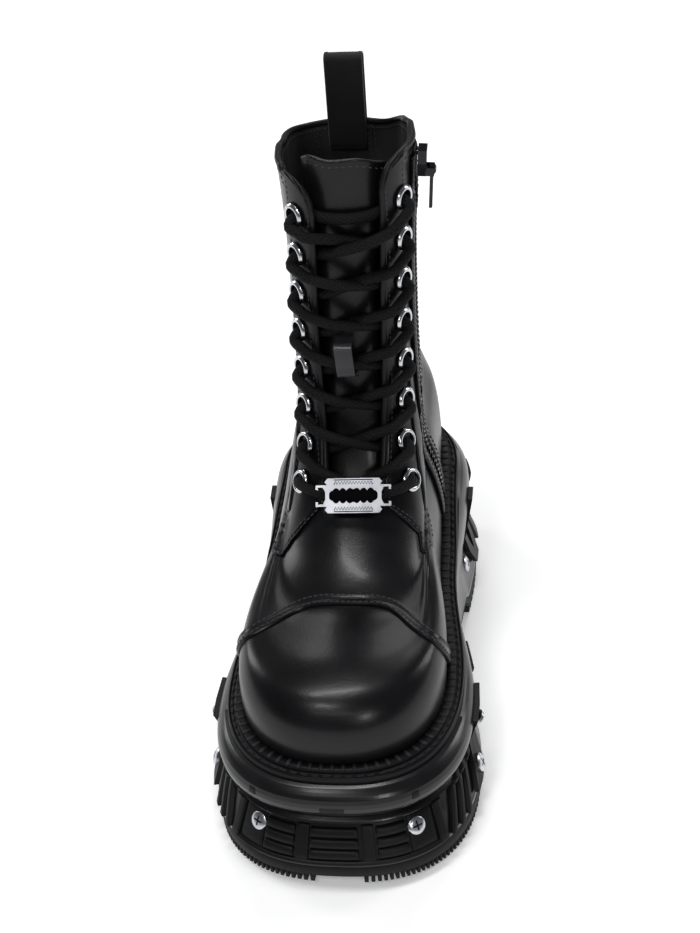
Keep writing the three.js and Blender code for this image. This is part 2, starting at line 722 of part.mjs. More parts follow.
// How far the sag of a loop is rounded off at the toe, and the half width share that tilt is given for
const RIDGE_SOFTNESS = 0.006;
const TILT_REACH = 0.62;

function upperBase(level, turn) {
  const row = loopAt(level);
  const p = planPoint(row, turn, UPPER_HALF);
  const [front, back] = [row.front * HALF_LENGTH, row.back * HALF_LENGTH];
  const share = Math.min(Math.max((p.y - front) / (back - front), 0), 1);
  const rest = RIDGE_SOFTNESS * (1 - share);
  const root = Math.sqrt(share + rest) - Math.sqrt(RIDGE_SOFTNESS) * (1 - share);
  const dip = row.dip * 4 * root * (1 - root);
  const rise = SHAFT_RISE * (lerp(row.frontRise, row.backRise, share) - dip);
  const z = seatHeight(p.y) + rise + (row.tilt * p.x) / UPPER_HALF / TILT_REACH;
  const spin = THREE.MathUtils.degToRad(row.spin);
  const [x, y] = [p.x, p.y - SHAFT_AXIS_Y];
  return new THREE.Vector3(
    x * Math.cos(spin) - y * Math.sin(spin),
    SHAFT_AXIS_Y + x * Math.sin(spin) + y * Math.cos(spin),
    z,
  );
}

function upperNormal(level, turn) {
  const dt = 0.03;
  const da = 0.006;
  const [lo, hi] = [Math.max(level - dt, 0), Math.min(level + dt, TOP_LOOP)];
  const up = upperBase(hi, turn).sub(upperBase(lo, turn));
  const round = upperBase(lo, (turn + da) % 1).sub(upperBase(lo, (turn + 1 - da) % 1));
  return round.cross(up).normalize();
}

// A point of the upper's outer face, set out by some millimetres
function upperPoint(level, turn, out = 0) {
  const t = (turn + 1) % 1;
  const point = upperBase(level, t);
  return out === 0 ? point : point.addScaledVector(upperNormal(level, t), out);
}

const UPPER_LEVELS = [0, 1, 2, 2.9, 4, 5.4, 7, 8.1, 9.2, 10.4, 12.2, 14];

// The upper's form grown or shrunk by some millimetres, run past both ends by reach
function upperForm(out, reach) {
  const loop = turns(UPPER_SEGMENTS);
  const rings = UPPER_LEVELS.map((level) => loop.map((turn) => upperPoint(level, turn, out)));
  const lower = rings[0].map((p) => p.clone().setZ(seatHeight(p.y) - reach.below));
  rings.unshift(lower);
  if (reach.above > 0) rings.push(rings[rings.length - 1].map((p) => p.clone().setZ(p.z + reach.above)));
  return solidOf(loft(rings));
}

// Heights between which the throat's middle line leans over
const LEAN_FOOT = 200;
const LEAN_TOP = 285;

function throatCentre(z) {
  const share = ease((z - LEAN_FOOT) / (LEAN_TOP - LEAN_FOOT));
  return lerp(THROAT_SHIFT, THROAT_TOP_SHIFT, share);
}

// Front view of the throat: narrow at its foot and rounded out at the collar's corners
function throatShape() {
  const half = THROAT_WIDTH / 2;
  const foot = THROAT_FOOT_WIDTH / 2;
  const top = COLLAR_BACK_HEIGHT + 5 * EXTRA;
  const [low, high] = [THROAT_SHIFT, THROAT_TOP_SHIFT];
  const medialTop = COLLAR_CORNER_MEDIAL + COLLAR_CORNER;
  const lateralTop = COLLAR_CORNER_LATERAL + COLLAR_CORNER;
  const shape = new THREE.Shape();
  shape.moveTo(low - foot + THROAT_FOOT_ROUND, THROAT_FOOT_HEIGHT);
  shape.lineTo(low + foot - THROAT_FOOT_ROUND, THROAT_FOOT_HEIGHT);
  shape.quadraticCurveTo(low + foot, THROAT_FOOT_HEIGHT, low + foot, THROAT_FOOT_HEIGHT + THROAT_FOOT_ROUND);
  shape.lineTo(low + half, LEAN_FOOT);
  shape.lineTo(throatCentre(COLLAR_CORNER_MEDIAL) + half, COLLAR_CORNER_MEDIAL);
  shape.quadraticCurveTo(high + half + 1, medialTop, high + half + COLLAR_CORNER, medialTop);
  shape.lineTo(high + half + COLLAR_CORNER, top);
  shape.lineTo(high - half - COLLAR_CORNER, top);
  shape.lineTo(high - half - COLLAR_CORNER, lateralTop);
  shape.quadraticCurveTo(
    high - half - 1, lateralTop,
    throatCentre(COLLAR_CORNER_LATERAL) - half, COLLAR_CORNER_LATERAL,
  );
  shape.lineTo(low - half, LEAN_FOOT);
  shape.lineTo(low - foot, THROAT_FOOT_HEIGHT + THROAT_FOOT_ROUND);
  shape.quadraticCurveTo(low - foot, THROAT_FOOT_HEIGHT, low - foot + THROAT_FOOT_ROUND, THROAT_FOOT_HEIGHT);
  return shape;
}

// The flaps' outlines run on past the collar
const FLAP_TOP = COLLAR_BACK_HEIGHT + 53;

// Front view of a quarter flap: distance out from the throat's middle line, height
const FLAP_OUTLINE = [
  { out: 6, height: FLAP_TOP },
  { out: 6, height: THROAT_FOOT_HEIGHT },
  { out: 13, height: THROAT_FOOT_HEIGHT - 4 },
  { out: 21, height: 115 },
  { out: 31, height: 100 },
  { out: 41, height: 87 },
  { out: 38.5, height: 100 },
  { out: 32, height: 122 },
  { out: 27.5, height: 146 },
  { out: 26.5, height: 180 },
  { out: 28.5, height: FLAP_TOP },
];

function flapPrism(side) {
  const pairs = FLAP_OUTLINE.map(({ out, height }) => [throatCentre(height) + side * out, height]);
  const shape = shapeOf(pairs);
  return frontPrism(shape, FLAP_FRONT_Y, FLAP_BACK_Y - FLAP_FRONT_Y);
}

const LOCATE_ROUNDS = 30;
const LOCATE_HALVINGS = 24;

// Finds the level and turn of a point on the upper's front from its height and its sideways place
function locateFront(x, z) {
  const side = x >= throatCentre(z) ? 1 : -1;
  const away = Math.abs(x - throatCentre(z));
  let [level, turn] = [9, 0.08];
  const here = () => upperBase(level, side > 0 ? turn : (1 - turn) % 1);
  for (let round = 0; round < LOCATE_ROUNDS; round += 1) {
    let [lo, hi] = [5, TOP_LOOP];
    for (let i = 0; i < LOCATE_HALVINGS; i += 1) {
      level = (lo + hi) / 2;
      if (here().z < z) lo = level;
      else hi = level;
    }
    [lo, hi] = [0, 0.25];
    for (let i = 0; i < LOCATE_HALVINGS; i += 1) {
      turn = (lo + hi) / 2;
      if (Math.abs(here().x - throatCentre(z)) < away) lo = turn;
      else hi = turn;
    }
  }
  return { level, turn: side > 0 ? turn : 1 - turn };
}

// Lacing places

function eyeletHeight(row) {
  return lerp(EYELET_TOP_HEIGHT, EYELET_FOOT_HEIGHT, EYELET_SHARES[row]);
}

// Share of the way down from the top row for each row, even along the curved front
const EYELET_SHARES = [0, 0.149, 0.299, 0.448, 0.596, 0.739, 0.874, 1];

function eyeletPlace(row, side) {
  const z = eyeletHeight(row) + side * EYELET_TILT * ease(1 - row / (EYELET_ROWS - 1));
  const spread = EYELET_HALF_SPACING + EYELET_FOOT_SPREAD * ease(row - EYELET_ROWS + 2);
  const where = locateFront(throatCentre(z) + side * spread, z);
  const point = upperPoint(where.level, where.turn, OVERLAY);
  return { ...where, point, normal: upperNormal(where.level, where.turn) };
}

const eyeletPlaces = [];
for (let row = 0; row < EYELET_ROWS; row += 1) {
  eyeletPlaces.push({ medial: eyeletPlace(row, 1), lateral: eyeletPlace(row, -1) });
}

function upper() {
  const plain = { below: WELT_THICKNESS + EXTRA / 4, above: 0 };
  let solid = upperForm(0, plain);
  const thick = upperForm(OVERLAY, plain);
  const band = new THREE.BoxGeometry(SOLE_WIDTH, CAP_BAND_WIDTH, COLLAR_BACK_HEIGHT);
  const cut = solidOf(band.translate(0, CAP_BAND_Y, TOE_SEAT + WELT_STEP + COLLAR_BACK_HEIGHT / 2));
  solid = solid.add(thick.intersect(cut));
  for (const side of [1, -1]) solid = solid.add(thick.intersect(flapPrism(side)));
  solid = solid.subtract(upperForm(-WALL, { below: EXTRA, above: EXTRA }));
  solid = solid.subtract(blockAt((y) => bedHeight(y) + GAP, -2 * EXTRA));
  solid = solid.subtract(frontPrism(throatShape(), -HALF_LENGTH, HALF_LENGTH + THROAT_BACK_Y));
  for (const { medial, lateral } of eyeletPlaces) {
    for (const place of [medial, lateral]) {
      const radius = EYELET_HOLE / 2 + EYELET_BARREL_WALL + GAP;
      const hole = new THREE.CylinderGeometry(radius, radius, 3 * WALL + 4 * OVERLAY, 8).rotateX(Math.PI / 2);
      solid = solid.subtract(solidOf(hole.applyMatrix4(frameAt(place.point, place.normal))));
    }
  }
  return solid;
}

function eyelet(place) {
  const barrel = EYELET_HOLE / 2 + EYELET_BARREL_WALL;
  const profile = [
    [EYELET_HOLE / 2, -WALL - OVERLAY],
    [barrel, -WALL - OVERLAY],
    [barrel, EYELET_SEAT],
    [EYELET_DIAMETER / 2, EYELET_SEAT],
    [EYELET_HOLE / 2, EYELET_SEAT + EYELET_RIM],
    [EYELET_HOLE / 2, -WALL - OVERLAY],
  ];
  return lathed(profile, 8).applyMatrix4(frameAt(place.point, place.normal));
}

// A lace strand's middle line over the upper's form: sideways place, height and lift over the face
function laceTube(stations) {
  const points = stations.map(({ x, z, lift }) => {
    const { level, turn } = locateFront(x, z);
    return upperPoint(level, turn, lift);
  });
  const path = new THREE.CatmullRomCurve3(points, false, 'centripetal');
  const section = new THREE.Shape();
  for (let i = 0; i < LACE_SIDES; i += 1) {
    const angle = (2 * Math.PI * i) / LACE_SIDES;
    const [u, v] = [Math.cos(angle) * LACE_DIAMETER / 2, Math.sin(angle) * LACE_DIAMETER / 2];
    if (i === 0) section.moveTo(u, v);
    else section.lineTo(u, v);
  }
  const settings = { steps: LACE_STEPS, extrudePath: path, bevelEnabled: false };
  return solidOf(new THREE.ExtrudeGeometry(section, settings));
}

const LACE_OVER_RIM = OVERLAY + EYELET_SEAT + EYELET_RIM + LACE_DIAMETER / 2 + 1.5 * GAP;
const LACE_OVER_EDGE = LACE_OVER_RIM - 0.3;
const LACE_INSIDE = -WALL - LACE_DIAMETER / 2 + 0.9;
const TONGUE_SINK = LACE_INSIDE - LACE_DIAMETER / 2 - 3 * GAP;

const CROSSING_SHARE = 0.4;

// One strand from inside one quarter's edge to over the opposite, upper eyelet
function strand(row, side) {
  const from = eyeletHeight(row + 1);
  const to = eyeletHeight(row);
  const c = throatCentre(from);
  const edge = side * THROAT_WIDTH / 2;
  return laceTube([
    { x: c - side * LACE_INNER_REACH, z: from, lift: LACE_INSIDE },
    { x: c, z: lerp(from, to, CROSSING_SHARE), lift: 0.2 },
    { x: c + edge, z: lerp(from, to, 0.82), lift: LACE_OVER_EDGE },
    { x: c + side * EYELET_HALF_SPACING, z: to, lift: LACE_OVER_RIM },
  ]);
}

function laceCross(row) {
  return strand(row, 1).add(strand(row, -1));
}

function laceBarBottom() {
  const z = EYELET_FOOT_HEIGHT;
  const c = throatCentre(z);
  const reach = EYELET_HALF_SPACING + EYELET_FOOT_SPREAD;
  return laceTube([-1, -0.55, 0, 0.55, 1].map((share) => ({
    x: c + share * reach,
    z,
    lift: LACE_OVER_RIM + (Math.abs(share) > 0.8 ? 2 * GAP : 0),
  })));
}

function laceBarTop() {
  const z = eyeletHeight(0) - 4.5;
  const c = throatCentre(z);
  const lift = LACE_INSIDE - 2 * GAP;
  return laceTube([-1, -0.4, 0.4, 1].map((share) => ({ x: c + share * LACE_INNER_REACH, z, lift })));
}

// Tongue: a sheet behind the throat that starts under the vamp and ends over the collar's corners
const TONGUE_TURN = 0.115;

function tongue() {
  const levels = [6.3, 7, 7.6, 8.2, 9, 9.8, 10.6, 11.4, 12.5, TOP_LOOP];
  const steps = 8;
  const start = -WALL - GAP;
  const grid = (extra) => levels.map((level) => {
    const sink = lerp(start, TONGUE_SINK, ease((level - 6.6) / 1.5)) + extra;
    const reach = TONGUE_TURN * lerp(0.75, 1, ease((level - 6.3) / 2));
    return Array.from({ length: steps + 1 }, (_, i) => {
      const p = upperPoint(level, reach * (2 * i / steps - 1), sink);
      if (level === TOP_LOOP) p.z += TONGUE_TOP_REACH - 6;
      return p;
    });
  });
  const inside = upperForm(-WALL - GAP, { below: 0, above: 2 * EXTRA });
  return solidOf(slab(grid(0), grid(-TONGUE_THICKNESS))).intersect(inside);
}

function insole() {
  const inside = upperForm(-WALL - GAP, { below: EXTRA, above: 0 });
  const above = inside.subtract(blockAt((y) => bedHeight(y) + GAP, -2 * EXTRA));
  return above.subtract(blockAt((y) => bedHeight(y) + GAP + INSOLE_THICKNESS, 2 * COLLAR_BACK_HEIGHT));
}

// Strip over the fourth crossing, with both feet on the tongue
function laceKeeper() {
  const row = 3;
  const middle = lerp(eyeletHeight(row + 1), eyeletHeight(row), CROSSING_SHARE);
  const half = KEEPER_SPAN / 2;
  const low = TONGUE_SINK + 2.2 * GAP;
  const high = LACE_DIAMETER + GAP;
  const stations = [
    [-half, low], [-KEEPER_ARCH - KEEPER_THICKNESS, low], [-KEEPER_ARCH, high],
    [KEEPER_ARCH, high], [KEEPER_ARCH + KEEPER_THICKNESS, low], [half, low],
  ];
  const grid = (extra) => stations.map(([along, lift]) => [-0.5, 0, 0.5].map((share) => {
    const z = middle + along;
    const { level, turn } = locateFront(throatCentre(z) + share * KEEPER_WIDTH, z);
    return upperPoint(level, turn, lift + extra);
  }));
  return slab(grid(KEEPER_THICKNESS), grid(0));
}

// Webbing loop over the back of the collar
function pullLoop() {
  const inside = upperPoint(TOP_LOOP, 0.5, -WALL - GAP - LOOP_THICKNESS);
  const outside = upperPoint(TOP_LOOP, 0.5, GAP + LOOP_THICKNESS);
  const foot = COLLAR_BACK_HEIGHT - LOOP_TAIL;
  const top = COLLAR_BACK_HEIGHT + LOOP_RISE;
  const t = LOOP_THICKNESS;
  const [a, b] = [inside.y - 1.2, outside.y + 1.2];
  const under = top - 1.5 - t * 0.6;
  const outer = [
    [a, foot], [a, top - 4], [a + 1.5, top - 1], [(a + b) / 2, top],
    [b - 1.5, top - 1], [b, top - 4], [b, foot],
  ];
  const inner = [
    [b - t, foot], [b - t, top - 5], [b - t - 1, under], [a + t + 1, under], [a + t, top - 5], [a + t, foot],
  ];
  const loop = sidePrism(shapeOf([...outer, ...inner]), LOOP_CENTRE_X - LOOP_WIDTH / 2, LOOP_WIDTH);
  const plain = { below: 0, above: 0 };
  const wall = upperForm(GAP, plain).subtract(upperForm(-WALL - GAP, { below: EXTRA, above: EXTRA }));
  return loop.subtract(wall);
}

// Charm: a flat plate with notched corners, a prong at each end and a long slot
function charm() {
  const [body, half, height] = [CHARM_BODY / 2, CHARM_WIDTH / 2, CHARM_HEIGHT / 2];
  const prong = height * 0.62;
  const bar = 1.2;
  const right = [
    [body - 1.5, height], [body, height * 0.8], [body - 1.2, prong], [half, prong],
    [half, prong - 2 * bar], [half - bar, prong - 2 * bar], [half - bar, prong - bar],
    [body + 0.8, prong - bar], [body - 0.4, prong - 3 * bar], [body - 0.4, -prong + 3 * bar],
    [body + 0.8, -prong + bar], [half - bar, -prong + bar], [half - bar, -prong + 2 * bar],
    [half, -prong + 2 * bar], [half, -prong], [body - 1.2, -prong], [body, -height * 0.8],
    [body - 1.5, -height],
  ];
  const left = right.map(([u, v]) => [-u, -v]);
  const shape = shapeOf([...right, ...left]);
  const [slot, rise] = [CHARM_SLOT / 2, CHARM_SLOT_HEIGHT / 2];
  const hole = [
    [-slot, 0], [-slot + 2.4, rise], [-slot * 0.5, rise * 0.7], [0, rise * 1.1], [slot * 0.5, rise * 0.7],
    [slot - 2.4, rise], [slot, 0], [slot - 2.4, -rise], [slot * 0.5, -rise * 0.7], [0, -rise * 1.1],
    [-slot * 0.5, -rise * 0.7], [-slot + 2.4, -rise],
  ];
  shape.holes.push(new THREE.Path(hole.map(([u, v]) => new THREE.Vector2(u, v))));
  return prism(shape, CHARM_THICKNESS);
}

// Zip

function zipY(z) {
  return lerp(ZIP_FOOT_Y, ZIP_TOP_Y, (z - ZIP_FOOT) / (ZIP_TOP - ZIP_FOOT));
}

function zipChain() {
  const half = ZIP_WIDTH / 2;
  const shape = shapeOf([
    [zipY(ZIP_FOOT) - half, ZIP_FOOT], [zipY(ZIP_FOOT) + half, ZIP_FOOT],
    [zipY(ZIP_TOP) + half, ZIP_TOP], [zipY(ZIP_TOP) - half, ZIP_TOP],
  ]);
  const plain = { below: 0, above: 0 };
  const strip = upperForm(GAP + ZIP_THICKNESS, plain).subtract(upperForm(GAP, plain));
  return strip.intersect(sidePrism(shape, UPPER_HALF * 0.2, UPPER_HALF * 2));
}

// Level and turn of a point on the medial side from its place along the boot and its height
function locateSide(y, z) {
  let [level, turn] = [10, 0.25];
  for (let round = 0; round < LOCATE_ROUNDS; round += 1) {
    let [lo, hi] = [0, TOP_LOOP];
    for (let i = 0; i < LOCATE_HALVINGS; i += 1) {
      level = (lo + hi) / 2;
      if (upperBase(level, turn).z < z) lo = level;
      else hi = level;
    }
    [lo, hi] = [0.05, 0.45];
    for (let i = 0; i < LOCATE_HALVINGS; i += 1) {
      turn = (lo + hi) / 2;
      if (upperBase(level, turn).y < y) lo = turn;
      else hi = turn;
    }
  }
  return { level, turn };
}

const sliderPlace = (() => {
  const z = SLIDER_TOP - SLIDER_LENGTH / 2;
  const { level, turn } = locateSide(zipY(z), z);
  return { point: upperPoint(level, turn, 2 * GAP + ZIP_THICKNESS), normal: upperNormal(level, turn) };
})();
const PIN_DROP = SLIDER_LENGTH / 2 - 2.4;
const PIN_HEIGHT = SLIDER_HEIGHT + 3 * GAP + PIN_DIAMETER / 2 + EYE_WALL;

function zipSlider() {
  const outline = shapeOf([
    [-SLIDER_WIDTH / 2, SLIDER_LENGTH / 2], [-SLIDER_WIDTH / 2, 0], [-SLIDER_WIDTH / 3, -SLIDER_LENGTH / 2],
    [SLIDER_WIDTH / 3, -SLIDER_LENGTH / 2], [SLIDER_WIDTH / 2, 0], [SLIDER_WIDTH / 2, SLIDER_LENGTH / 2],
  ]);
  let solid = solidOf(prism(outline, SLIDER_HEIGHT).translate(0, 0, GAP));
  const cheekGap = PULL_WIDTH + 2 * GAP;
  for (const side of [1, -1]) {
    const cheek = new THREE.BoxGeometry(CHEEK, 4 * CHEEK, PIN_HEIGHT + CHEEK - SLIDER_HEIGHT + 2 * GAP);
    cheek.translate(side * (cheekGap + CHEEK) / 2, -PIN_DROP, (SLIDER_HEIGHT + PIN_HEIGHT + CHEEK) / 2);
    solid = solid.add(solidOf(cheek));
  }
  const pin = new THREE.CylinderGeometry(PIN_DIAMETER / 2, PIN_DIAMETER / 2, cheekGap + CHEEK, 8);
  return solid.add(solidOf(pin.rotateZ(Math.PI / 2).translate(0, -PIN_DROP, PIN_HEIGHT)));
}

function zipPullTab() {
  const eye = PIN_DIAMETER / 2 + GAP;
  const outline = new THREE.Shape();
  outline.absarc(0, 0, eye + EYE_WALL, 0, Math.PI, false);
  outline.lineTo(-eye - EYE_WALL, 0);
  outline.lineTo(-PULL_THICKNESS / 2, -2.2);
  outline.lineTo(-PULL_THICKNESS / 2, -PULL_LENGTH);
  outline.lineTo(PULL_THICKNESS / 2, -PULL_LENGTH);
  outline.lineTo(PULL_THICKNESS / 2, -2.2);
  outline.lineTo(eye + EYE_WALL, 0);
  const hole = new THREE.Path();
  hole.absarc(0, 0, eye, 0, 2 * Math.PI, true);
  outline.holes.push(hole);
  const tab = prism(outline, PULL_WIDTH, 5).translate(0, 0, -PULL_WIDTH / 2).rotateY(Math.PI / 2);
  return tab.translate(0, -PIN_DROP, PIN_HEIGHT);
}

// Assembly

add('outsole', outsole(), materials.rubber);
add('platform', platform(), materials.rubber);
add('welt', welt(), materials.rubber);
add('upper', upper(), materials.leather);
add('tongue', tongue(), materials.leather);
add('insole', insole(), materials.lining);
add('pull_loop', pullLoop(), materials.webbing);
add('zip_chain', zipChain(), materials.webbing);

for (const [name, side] of [['medial', 1], ['lateral', -1]]) {
  add(`side_plate_${name}`, sidePlate(side), materials.rubber);
  add(`heel_ring_${name}`, heelRing(side), materials.rubber);
  for (const spec of SCREWS) {
    add(`screw_${spec.name}_${name}`, screw().applyMatrix4(screwFrame(spec, side)), materials.steel);
  }
  eyeletPlaces.forEach((row, i) => add(`eyelet_${name}_${i + 1}`, eyelet(row[name]), materials.steel));
}

for (let row = 0; row + 1 < EYELET_ROWS; row += 1) {
  add(`lace_cross_${row + 1}`, laceCross(row), materials.webbing);
}
add('lace_bar_top', laceBarTop(), materials.webbing);
add('lace_bar_bottom', laceBarBottom(), materials.webbing);

add('lace_keeper', laceKeeper(), materials.leather);

const charmSpot = (() => {
  const { level, turn } = locateFront(throatCentre(EYELET_FOOT_HEIGHT) + 0.01, EYELET_FOOT_HEIGHT);
  const lift = LACE_OVER_RIM + LACE_DIAMETER / 2 - 3 * GAP;
  return frameAt(upperPoint(level, turn, lift), upperNormal(level, turn));
})();
add('charm', charm().applyMatrix4(charmSpot), materials.steel);

const sliderFrame = frameAt(sliderPlace.point, sliderPlace.normal);
add('zip_slider', geometryOf(zipSlider()).applyMatrix4(sliderFrame), materials.blackMetal);
add('zip_pull_tab', zipPullTab().applyMatrix4(sliderFrame), materials.blackMetal);

export default boot;
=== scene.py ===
"""Looks of a right platform boot: leather, stitches, laces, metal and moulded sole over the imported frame.

Form helpers work in millimetres, in the boot's own frame: +Z up, toe along -Y, +X the side with the zip.
"""

import json
import math

import bmesh
import bpy
import numpy as np
from mathutils import Matrix, Vector


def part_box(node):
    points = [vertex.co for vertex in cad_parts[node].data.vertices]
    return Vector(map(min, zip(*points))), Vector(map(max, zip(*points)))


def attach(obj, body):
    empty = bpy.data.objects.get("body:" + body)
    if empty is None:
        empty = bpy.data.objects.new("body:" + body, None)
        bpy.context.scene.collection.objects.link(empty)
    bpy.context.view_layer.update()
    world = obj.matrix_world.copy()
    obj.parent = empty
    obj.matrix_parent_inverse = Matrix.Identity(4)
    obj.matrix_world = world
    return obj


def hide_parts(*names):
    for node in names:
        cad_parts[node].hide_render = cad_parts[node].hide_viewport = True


bl_info = {
    "name": "Platform boot",
    "version": (1, 0, 0),
    "blender": (4, 5, 0),
    "location": "View3D > Sidebar > Boot",
    "description": "Builds the finished pieces of a laced platform boot around its construction model",
    "category": "Object",
}

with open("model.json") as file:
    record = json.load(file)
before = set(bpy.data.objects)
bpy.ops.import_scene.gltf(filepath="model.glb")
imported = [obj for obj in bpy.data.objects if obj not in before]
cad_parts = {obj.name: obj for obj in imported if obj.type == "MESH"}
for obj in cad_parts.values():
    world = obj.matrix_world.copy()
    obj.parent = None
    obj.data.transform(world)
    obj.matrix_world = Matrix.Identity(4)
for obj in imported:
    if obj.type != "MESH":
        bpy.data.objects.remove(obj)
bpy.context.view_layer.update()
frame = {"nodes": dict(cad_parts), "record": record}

MM = 0.001
BOOT = "boot"

# Sole sizes, in millimetres
HALF_LENGTH = 150.0
SOLE_HALF = 66.5
WELT_HALF = 58.5
UPPER_HALF = 50.0
TOE_SEAT = 62.0
HEEL_SEAT = 84.5
SHAFT_RISE = 192.5
SHAFT_AXIS_Y = 70.0
OUTSOLE_TOP = 13.0
WELT_THICKNESS = 5.0
NOSE_PART = 0.19
REAR_PART = 0.34
OUTLINE_STEP = 0.004
SPRING_START = 99.0
TOE_SPRING = 3.5
ARCH_RISE = 15.0
ARCH_FRONT = 4.0
ARCH_BACK = 52.0
ARCH_SLOPE = 13.0

# Outline of the tread and of the welt, as shares of half the sole's length and of their own half widths
TREAD = dict(front=-1, back=1, ball=1, waist=0.79, heel=0.885,
             nose=0.5, rear=0.42, toe_form=2.5, heel_form=2.4)
WELT = dict(front=-0.927, back=0.94, ball=1, waist=0.885, heel=0.85,
            nose=0.5, rear=0.38, toe_form=2.5, heel_form=2.2)

# Height of the seat line along the boot, as a share of the rise from toe seat to heel seat
SEAT_AT = np.array([-1.0, -0.75, -0.45, -0.1, 0.17, 0.45, 0.7, 1.0])
SEAT_RISE = np.array([0.10, 0.02, -0.03, 0.07, 0.33, 0.75, 0.96, 1.0])

# Loops of the upper from its foot at the welt to the collar, as shares of half length, rise and half width
LOOP_KEYS = (
    "front", "front_rise", "back", "back_rise", "ball", "waist", "heel", "nose", "rear", "dip", "spin",
    "tilt",
)
LOOPS = np.array([
    (-0.877, 0, 0.877, 0, 0.998, 0.87, 0.80, 0.40, 0.27, 0, 0, 0),
    (-0.887, 0.067, 0.886, 0.073, 1.01, 0.87, 0.81, 0.41, 0.27, 0, 0, 0),
    (-0.866, 0.13, 0.89, 0.13, 1.0, 0.84, 0.80, 0.41, 0.27, 0.002, 0, 0),
    (-0.807, 0.18, 0.887, 0.19, 0.94, 0.79, 0.78, 0.39, 0.27, 0.01, 0, 0),
    (-0.707, 0.205, 0.882, 0.25, 0.84, 0.75, 0.74, 0.36, 0.26, 0.026, 0, 0),
    (-0.58, 0.214, 0.875, 0.30, 0.75, 0.71, 0.68, 0.32, 0.25, 0.032, 0.4, 0),
    (-0.433, 0.222, 0.867, 0.35, 0.69, 0.676, 0.63, 0.30, 0.25, 0.036, 1, 0),
    (-0.267, 0.262, 0.857, 0.40, 0.66, 0.64, 0.60, 0.28, 0.25, 0.036, 1.8, 0),
    (-0.122, 0.335, 0.845, 0.455, 0.63, 0.62, 0.59, 0.27, 0.25, 0.022, 2.3, 0),
    (-0.012, 0.435, 0.83, 0.515, 0.615, 0.62, 0.585, 0.26, 0.25, 0.012, 2.5, 0.3),
    (0.048, 0.55, 0.812, 0.583, 0.61, 0.62, 0.585, 0.26, 0.25, 0, 2.7, 0.8),
    (0.075, 0.694, 0.80, 0.666, 0.61, 0.62, 0.585, 0.26, 0.25, 0, 3.2, 1.4),
    (0.088, 0.876, 0.797, 0.78, 0.615, 0.625, 0.59, 0.26, 0.25, 0, 4.5, 2.1),
    (0.092, 1.02, 0.797, 0.89, 0.63, 0.635, 0.6, 0.26, 0.25, 0, 6, 2.8),
    (0.095, 1.19, 0.80, 1.0, 0.66, 0.66, 0.62, 0.26, 0.25, 0, 7, 3.4),
])
TOP_LOOP = len(LOOPS) - 1
RIDGE = 0.014

# Throat, flaps, lacing, tongue, toe seam and zip, in millimetres, levels and turns
THROAT_HALF = 17.0
THROAT_FOOT_HALF = 14.5
THROAT_FOOT = 126.0
THROAT_FOOT_X = 2.8
THROAT_TOP_X = 5.5
LEAN_FROM = 200.0
LEAN_RUN = 85.0
CORNER_REACH = 15.0
CORNER_START = 2.0
CORNER_BEND = 13.0
CORNER_RISE = 15.0
CORNERS = {1: 282.0, -1: 272.0}
EYELET_OUT = 24.2
EYELET_FOOT_SPREAD = 2.6
EYELET_TOP = 272.5
EYELET_FOOT = 131.6
EYELET_SHARES = (0, 0.149, 0.299, 0.448, 0.596, 0.739, 0.874, 1)
EYELET_SLANT = 2.6
LACE_STEP = 1.6
TONGUE_SINK = -7.4
TONGUE_TURN = 0.115
TONGUE_SLANT = 6.5
CAP_LEVEL = 6.14
CAP_TURN = 0.207
CAP_POWER = 2.9
REAR_DROP = 5.0
ZIP_TOP = 293.0
ZIP_FOOT = 84.0
ZIP_TOP_Y = 49.0
ZIP_FOOT_Y = 44.0
TOOTH_PITCH = 1.35

# How places on the upper are looked for
LOCATE_ROUNDS = 9
TURN_WEIGHT = 40
NO_LIMIT = 1000.0

# Rounded ends of a tube, and the angle past which an edge stays sharp
END_STEPS = (1.0, 0.85, 0.5)
END_RADII = (0.001, 0.53, 0.87)
SHARP_EDGE = math.radians(40)

# Pitch of the webbing's ribs, in metres, and the settings that lengths and colours share
RIB_PITCH = 0.0011
LENGTH = dict(unit="LENGTH", subtype="DISTANCE")
COLOUR = dict(subtype="COLOR", min=0, max=1)
MADE_FINISHES = {}


def lerp(a, b, share):
    """Value at a share of the way from a to b."""
    return a + (b - a) * share


def ease(share):
    """A share with soft ends, held between 0 and 1."""
    s = np.clip(share, 0, 1)
    return s * s * (3 - 2 * s)


def unit(v):
    """Vectors brought to length 1."""
    return v / np.maximum(np.linalg.norm(v, axis=-1, keepdims=True), 1e-9)


def spline(a, b, c, d, s):
    """Smooth curve from b to c at the share s, led by the values a before and d after."""
    return 0.5 * (2 * b + (c - a) * s + (2 * a - 5 * b + 4 * c - d) * s**2 + (3 * b - a - 3 * c + d) * s**3)


def run_along(points):
    """Length along a path up to each of its points."""
    return np.concatenate([[0], np.cumsum(np.linalg.norm(np.diff(points, axis=0), axis=1))])


def read_path(at, run, values):
    """Values at given lengths along a path."""
    return np.stack([np.interp(at, run, column) for column in np.asarray(values).T], -1)


